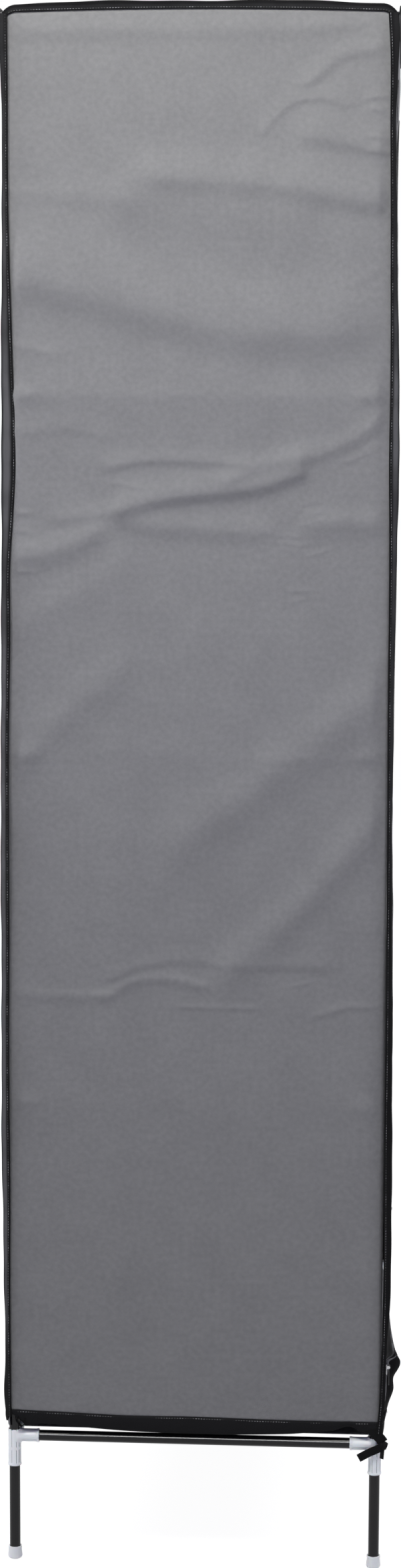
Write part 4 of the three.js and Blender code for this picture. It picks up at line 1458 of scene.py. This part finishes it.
def long_top_tape(face, side_y):
    """Along the top of the front or the back, standing up and leaning a little outwards."""
    x = steps(-end_inner, end_inner, tape_cell * 2)
    lean = long_tape_lean + wave(x, *long_tape_lean_wave, side_y)
    z = seam_level - long_tape_down + wave(x, *long_tape_wave)
    path = columns(x, side_y * through(top_level, back_slack), z)
    across = columns(0, side_y * np.cos(lean), np.sin(lean))
    out = columns(0, -side_y * np.sin(lean), np.cos(lean))
    name, sizes = f"top_tape_{face}", (long_tape_width, tape_thickness)
    swept(name, path, across, out, *sizes, black_tape, bare=top_tape_bare)
    return path + across * stitch_inset + out * tape_thickness / 2


seam_lines = {}
for side, side_x in sides:
    name = f"corner_tape_back_{side}"
    seam_lines[name] = corner_tape(name, side_x, 1, back_corner)
    name = f"corner_tape_front_{side}"
    seam_lines[name] = corner_tape(name, side_x, -1, front_corner)
    seam_lines[f"top_tape_{side}"] = end_top_tape(side, side_x)
for face, side_y in faces:
    seam_lines[f"top_tape_{face}"] = long_top_tape(face, side_y)


# Hems
# Wide black tape folded over the lower edge of the cover all round. On the ends it is drawn up
# beside the corners, where the ties pull on it.
hem_colour = (0.0075, 0.0075, 0.0083, 1)
hem_face = (0.016, 0.016, 0.0172, 1)
hem_thickness = 0.0015
hem_row = 0.0034
hem_puff = 0.0007
hem_swell, hem_seam_share = (0.06, 0.0005), 1.6
end_hem_half, end_hem_cell = 0.2155, 0.0045
strip_hem_cell, strip_low_wave, strip_high_wave = 0.0035, (0.0006, 0.05), (0.0005, 0.04)
wide_hem_cell, back_high_wave = 0.008, (0.001, 0.2)
back_hem_lift, back_hem_wave = 0.014, (0.0016, 19)
door_low_wave, door_high_wave = (0.001, 0.37), (0.0008, 0.21)
hem_tops = ((-0.216, 0.0), (-0.1, -0.0005), (0.0, 0.001), (0.08, 0.0005), (0.16, 0.003), (0.216, 0.0045))
black_hem = ribbed_tape("black_hem", hem_colour, hem_face)


def hem(name, us, low, high, place, body="wardrobe"):
    """A strip of hem between two edges, each given as its rise by place. It puffs out a little."""
    def shaped(u, v):
        share = (v - hem_low) / (hem_high - hem_low)
        z = v + low(u) * (1 - share) + high(u) * share
        out = hem_puff * np.sin(math.pi * np.clip(share, 0, 1)) + swell(u, v, *hem_swell)
        return place(u, z, out + hem_thickness)

    piece = cloth(name, us, steps(hem_low, hem_high, hem_row), shaped, black_hem, hem_thickness)
    u = steps(us[0], us[-1], hem_row)
    z = hem_high + high(u) - stitch_inset
    seam_lines[name] = columns(*place(u, z, hem_thickness * hem_seam_share))
    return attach(piece, body)


def hung_cloth(tapes):
    """Looks up the tapes of an end or of the back by name, and does nothing more with them."""
    tapes = [bpy.data.objects[name] for name in tapes]


def wavy(height, size):
    return lambda u: height * np.sin(u * 2 * math.pi / size)


for side, side_x in sides:
    hem(
        f"end_hem_{side}",
        steps(-end_hem_half, end_hem_half, end_hem_cell) * side_x,
        lambda u: through(u, hem_rise),
        lambda u: through(u, hem_tops),
        lambda u, z, out: (side_x * (end_inner + out), u, z),
    )
    low, high = strip_boxes[side]
    hem(
        f"strip_hem_{side}",
        steps(low.x, high.x, strip_hem_cell),
        wavy(*strip_low_wave),
        wavy(*strip_high_wave),
        lambda u, z, out: (u, -front_stand(u, z) - out, z),
    )
    tapes = [f"corner_tape_{face}_{side}" for face, _ in faces] + [f"top_tape_{side}", f"end_hem_{side}"]
    hung_cloth(tapes)
hem(
    "back_hem",
    steps(half_back, -half_back, wide_hem_cell),
    lambda u: back_hem_lift * (np.abs(u) / half_back) ** corner_power + wave(u, *back_hem_wave),
    wavy(*back_high_wave),
    lambda u, z, out: (u, through(z, back_slack) - corner_tuck(u) + out, z),
)
hung_cloth(["top_tape_back", "back_hem"])
door_hem = hem(
    "door_hem_tape",
    steps(door_low.x, door_high.x, wide_hem_cell),
    wavy(*door_low_wave),
    wavy(*door_high_wave),
    lambda u, z, out: (u, -front_stand(u, z) - out, z),
    "rolling_door",
)
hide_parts("door_hem")


# Zips
# A nylon coil on a black tape is sewn to each strip and to each side of the door. The door's
# halves gather with it. The plated sliders stand near the foot, with their pulls hanging down.
zip_tape_width = 0.0155
zip_tape_thickness = 0.0005
zip_tape_stand = 0.0006
zip_inset, coil_gap_share = 0.001, 1.6
coil_pitch = 0.0015
coil_apart = 0.00095
coil_size = (0.00115, 0.00085, 0.0005)
coil_colour = (0.03, 0.03, 0.032, 1)
# The pale colour of the painted highlights on the nylon.
coil_painted_highlight = (0.4, 0.4, 0.41, 1)
coil_roughness, coil_uneven = 0.3, 0.15
coil_cloud, coil_highlight_start, coil_highlight_slope = 0.012, 0.47, 5
plated_colour = (0.62, 0.62, 0.63, 1)
plated_dark = (0.42, 0.42, 0.44, 1)
plated_roughness = 0.26
pull_colour = (0.07, 0.07, 0.072, 1)
pull_dark = (0.03, 0.03, 0.032, 1)
metal_bevel = 0.00022
metal_merge = 0.00002
metal_cloud, metal_grain, metal_grain_depth = 0.004, 0.0004, 0.00001
metal_uneven = 0.12
bead_segments, bead_rings = 6, 4


def nylon():
    material, nodes = material_of("nylon_coil")
    cloud = noise(nodes, coil_cloud)
    # Pale patches are painted highlights on the dark nylon of the coils and the stitches.
    shade = ((cloud - coil_highlight_start) * coil_highlight_slope).clamped()
    surface(
        nodes,
        Base_Color=mixed(nodes, shade, coil_colour, coil_painted_highlight),
        Roughness=coil_roughness + coil_uneven * (cloud - 0.5),
    )
    return material


def plated(name, light, dark):
    material, nodes = material_of(name)
    cloud = noise(nodes, metal_cloud)
    grain = noise(nodes, metal_grain)
    surface(
        nodes,
        Base_Color=mixed(nodes, cloud, dark, light),
        Metallic=1.0,
        Roughness=plated_roughness + metal_uneven * (grain - 0.5),
        Normal=bumped(nodes, grain, metal_grain_depth),
    )
    return material


def beads_tree():
    """A small rounded bead on every point of a line."""
    inputs = {"Points": "Geometry", "Size": "Vector", "Segments": "Int", "Rings": "Int"}
    nodes, size = geometry_tree("row of beads", {**inputs, "Material": "Material"})
    counts = {"Segments": size["Segments"], "Rings": size["Rings"], "Radius": 1.0}
    bead = nodes.add("GeometryNodeMeshUVSphere", {}, counts)
    placed = {"Points": size["Points"], "Instance": bead, "Scale": size["Size"]}
    row = nodes.add("GeometryNodeInstanceOnPoints", {}, placed)
    return closed_tree(nodes, row, size["Material"])


row_of_beads = beads_tree()
nylon_coil = nylon()
bright_metal = plated("bright_metal", plated_colour, plated_dark)
black_metal = plated("black_metal", pull_colour, pull_dark)


def beads(name, line, pitch, size, material, body="wardrobe"):
    """Beads at an even pitch along a line of points."""
    strides = np.linalg.norm(np.diff(line, axis=0), axis=1)
    along = np.concatenate(([0], np.cumsum(strides)))
    places = np.arange(pitch / 2, along[-1], pitch)
    points = np.stack([np.interp(places, along, line[:, i]) for i in range(3)], axis=-1)
    start = bpy.data.meshes.new(name)
    start.from_pydata(points.tolist(), [], [])
    sizes = {"Size": size, "Segments": bead_segments, "Rings": bead_rings, "Material": material}
    piece = grown(name, row_of_beads, sizes, start)
    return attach(piece, body)


def half_zip(side, side_x, part, direction, low, high, folds):
    """One half of a zip: its tape, on the strip's side or on the door's, and its row of coils."""
    inner = zip_line + direction * coil_apart * coil_gap_share
    outer = inner + direction * zip_tape_width
    place = front_shape(low, high, folds, zip_tape_stand)
    us = np.sort(steps(side_x * inner, side_x * outer, strip_cell))
    vs = front_rows(low.z + zip_inset, high.z - zip_inset, door_row)
    tape = cloth(f"zip_tape_{part}_{side}", us, vs, place, black_tape, zip_tape_thickness)
    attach(tape, "wardrobe")
    x = side_x * (zip_line + direction * coil_apart)
    line = columns(x, -front_stand(x, vs) - zip_tape_stand, vs)
    coils = beads(f"zip_coil_{part}_{side}", line, coil_pitch, coil_size, nylon_coil)
    return [tape, coils]


def metal_copy(name, node, body, material):
    """The slider or its pull as in the frame, with its edges rounded as in a die casting."""
    shape = bmesh.new()
    shape.from_mesh(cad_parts[node].data)
    bmesh.ops.remove_doubles(shape, verts=shape.verts, dist=metal_merge)
    mesh = bpy.data.meshes.new(name)
    shape.to_mesh(mesh)
    shape.free()
    mesh.materials.clear()
    mesh.materials.append(material)
    piece = smoothed(linked(name, mesh))
    bevel = piece.modifiers.new("edges", "BEVEL")
    bevel.width = metal_bevel
    bevel.segments = 2
    bevel.limit_method = "ANGLE"
    return stands_for(piece, body, "zip_metal", node)


door_tapes = [door_hem]
for side, side_x in sides:
    low, high = strip_boxes[side]
    strip_halves = half_zip(side, side_x, "strip", 1, low, high, ())
    door_halves = half_zip(side, side_x, "door", -1, door_low, door_high, door_folds)
    door_tapes += [rolls_up(piece) for piece in door_halves]
    metal_copy(f"slider_cast_{side}", f"zip_slider_{side}", f"slider_{side}", bright_metal)
    metal_copy(f"pull_cast_{side}", f"pull_tab_{side}", f"pull_{side}", black_metal)


# Stitches
# Rows of short stitches run along every tape and hem, sunk a little into the cloth.
stitch_pitch = 0.0031
stitch_long = 0.0011
stitch_wide = 0.00026
upright_stitch = (stitch_wide, stitch_wide, stitch_long)
wide_stitch = (stitch_long, stitch_wide, stitch_wide)
deep_stitch = (stitch_wide, stitch_long, stitch_wide)
deep_seams = ("end_hem", "top_tape_left", "top_tape_right")

for name, line in seam_lines.items():
    if name.startswith("corner"):
        size = upright_stitch
    else:
        size = deep_stitch if name.startswith(deep_seams) else wide_stitch
    body = "rolling_door" if name == "door_hem_tape" else "wardrobe"
    beads(f"stitches_{name}", line, stitch_pitch, size, nylon_coil, body)


# Ties
# Black ribbons sewn into the hem's corners, which tie the cover down to the lowest sockets. The
# knots are at the front. At the back a loop is left over, and more ribbons for the rolled door
# hang inside the header.
ribbon_width = 0.007
ribbon_thickness = 0.0009
ribbon_steps = 40
knot_middle = (0.3592, -0.2206, 0.1518)
knot_ring = 0.0031
knot_width = 0.0062
knot_slope = math.radians(33)
tie_runs = {
    "down": (
        (
            (0.3606, -0.2035, 0.174), (0.3612, -0.2095, 0.1672),
            (0.3612, -0.2158, 0.161), (0.3596, -0.2195, 0.1555),
        ),
        (0, 0.76, -0.65),
        0.0125,
    ),
    "long_tail": (
        (
            (0.3596, -0.2215, 0.1516), (0.3615, -0.2125, 0.1474),
            (0.3622, -0.2025, 0.1428), (0.3632, -0.1915, 0.1368),
        ),
        (0.0, 0.35, 0.94),
        0.0098,
    ),
    "short_tail": (
        ((0.3592, -0.2205, 0.155), (0.3598, -0.2192, 0.1475), (0.3592, -0.2182, 0.1355)),
        (0.5, -0.85, 0.0),
        0.0052,
    ),
}
loop_run = (
    (0.3605, 0.2042, 0.1762), (0.3612, 0.205, 0.1702), (0.3612, 0.2012, 0.1648),
    (0.3608, 0.1972, 0.1672), (0.3604, 0.1962, 0.1745),
)
loop_lean, loop_width = 0.3, 0.0045
# How strongly a painted highlight lightens the faces of the ribbons and the knots.
ribbon_bare, knot_bare, knot_thickness = 0.1, 0.05, 0.0019
knot_flat_share, knot_least_share, knot_wave_share = 1.25, 0.92, 0.08
wrap_axis, wrap_share = (0, 0.35, -1), 0.85
header_tie_width, header_tie_sway = 0.008, 0.004
header_tie_lap, header_tie_bow = 0.012, 0.0012
header_ties = (-0.153, -0.139, 0.137, 0.152)
header_tie_length = 0.24
header_tie_inset = 0.0045


def ribbon(name, points, across, width=ribbon_width):
    """A flat ribbon along a smooth line through a few points, which faces the way it is turned."""
    places = np.arange(len(points))
    t = np.linspace(0, len(points) - 1, ribbon_steps)
    path = np.stack([through(t, list(zip(places, axis))) for axis in zip(*points)], axis=-1)
    tangent = unit(np.gradient(path, axis=0))
    across = np.broadcast_to(np.asarray(across, float), path.shape)
    across = unit(across - tangent * (across * tangent).sum(axis=-1, keepdims=True))
    out = np.cross(tangent, across)
    start = path - across * width / 2
    return swept(name, start, across, out, width, ribbon_thickness, black_tape, bare=ribbon_bare)


def knot(name, side_x, axis, size):
    """A band of ribbon drawn tight round the crossing."""
    turns = np.linspace(0, 2 * math.pi, ribbon_steps)
    axis = unit(np.asarray(axis, float))
    first = unit(np.cross(axis, (1.0, 0.0, 0.0)))
    second = np.cross(axis, first)
    ring = np.cos(turns)[:, None] * first * knot_flat_share + np.sin(turns)[:, None] * second
    middle = np.array(knot_middle) * (side_x, 1, 1)
    path = middle + ring * size - axis * knot_width / 2
    width = knot_width * (knot_least_share + knot_wave_share * np.cos(3 * turns))
    axes = np.broadcast_to(axis, path.shape)
    swept(name, path, axes, unit(ring), width, knot_thickness, black_tape, bare=knot_bare)


for side, side_x in sides:
    for run, (points, across, width) in tie_runs.items():
        points = [(side_x * x, y, z) for x, y, z in points]
        piece = ribbon(f"tie_{run}_{side}", points, (side_x * across[0], *across[1:]), width)
        if run == "down":
            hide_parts(f"corner_tie_{side}")
    knot(f"tie_knot_{side}", side_x, (0, math.cos(knot_slope), math.sin(knot_slope)), knot_ring)
    knot(f"tie_wrap_{side}", side_x, wrap_axis, knot_ring * wrap_share)
    points = [(side_x * x, y, z) for x, y, z in loop_run]
    ribbon(f"tie_loop_{side}", points, (side_x, loop_lean, 0), loop_width)
for i, x in enumerate(header_ties):
    y = header_tie_inset - front_stand(x, door_high.z)
    sway = header_tie_sway * (-1) ** i
    points = [
        (x, y, door_high.z + header_tie_lap),
        (x + sway / 2, y + header_tie_bow, door_high.z - header_tie_length / 2),
        (x + 2 * sway, y, door_high.z - header_tie_length),
    ]
    ribbon(f"header_tie_{i}", points, (1, 0, 0), header_tie_width)


# Floor, backdrop and lights
# A plain white room. The floor keeps the soft shadow of the feet. The gleam shows only in what
# is shiny, as the line of light along the rails.
floor_colour = (0.7, 0.7, 0.69, 1)
floor_half = 6.0
floor_glow = 0.7
floor_strength = 1.36
sky_light = 0.29
sky_colour = (0.64, 0.64, 1.0, 1)
plain, warm, cool = (1.0, 1.0, 1.0), (1.0, 1.0, 0.94), (0.79, 0.78, 1.0)
lamps = {
    "end_light": ((-1.6, 0.2, 2.75), (-0.35, 0, 1.3), (0.9, 0.6), 37.5, warm),
    "middle_light": ((-3.0, 0.2, 1.3), (-0.35, 0, 1.3), (1.0, 0.8), 1.5, cool),
    "gleam": ((-2.71, 0.2, 1.9), (-0.35, 0, 0.15), (0.9, 0.6), 60, plain),
    "front_light": ((0.6, -2.4, 2.8), (0, -0.2, 1.1), (1.8, 1.2), 50, plain),
    "back_light": ((-0.4, 2.6, 2.8), (0, 0.2, 1.1), (1.8, 1.2), 50, plain),
    "far_end_light": ((2.4, 0.5, 2.8), (0.35, 0, 1.1), (1.6, 1.2), 50, plain),
}
middle_spread = math.radians(50)


def seen_directly(nodes):
    """1 on rays from the camera, and on those that come off or through a shiny surface."""
    path = nodes.add("ShaderNodeLightPath", output="Is Camera Ray")
    return path.higher(path["Is Glossy Ray"]).higher(path["Is Transmission Ray"])


def build_room():
    material, nodes = material_of("floor")
    plain = nodes.add("ShaderNodeBsdfDiffuse", {}, {"Color": floor_colour})
    glow = nodes.add("ShaderNodeEmission", {}, {"Color": (1, 1, 1, 1), "Strength": floor_strength})
    share = seen_directly(nodes) * floor_glow
    both = nodes.add("ShaderNodeMixShader", {}, {0: share, 1: plain, 2: glow})
    nodes.add("ShaderNodeOutputMaterial", {}, {"Surface": both})
    corners = [(-floor_half, -floor_half), (floor_half, -floor_half), (floor_half, floor_half)]
    corners.append((-floor_half, floor_half))
    floor = linked("floor", mesh_of("floor", [(x, y, 0) for x, y in corners], [(0, 1, 2, 3)], material))
    world = bpy.data.worlds.new("white room")
    bpy.context.scene.world = world
    world.use_nodes = True
    world.node_tree.nodes.clear()
    nodes = Nodes(world.node_tree)
    white = nodes.add("ShaderNodeBackground", {}, {"Color": (1, 1, 1, 1), "Strength": 1.0})
    sky = nodes.add("ShaderNodeBackground", {}, {"Color": sky_colour, "Strength": sky_light})
    both = nodes.add("ShaderNodeMixShader", {}, {0: seen_directly(nodes), 1: sky, 2: white})
    nodes.add("ShaderNodeOutputWorld", {}, {"Surface": both})


def lamp(name, place, aim, size, power, colour):
    light = bpy.data.lights.new(name, "AREA")
    light.shape = "RECTANGLE"
    light.size, light.size_y = size
    light.energy = power
    holder = bpy.data.objects.new(name, light)
    bpy.context.scene.collection.objects.link(holder)
    holder.location = place
    holder.rotation_mode = "QUATERNION"
    holder.rotation_quaternion = (Vector(aim) - Vector(place)).to_track_quat("-Z", "Y")
    light.color = colour
    return holder


build_room()
holders = {name: lamp(name, *values) for name, values in lamps.items()}
holders["middle_light"].data.spread = middle_spread
holders["gleam"].visible_diffuse = False
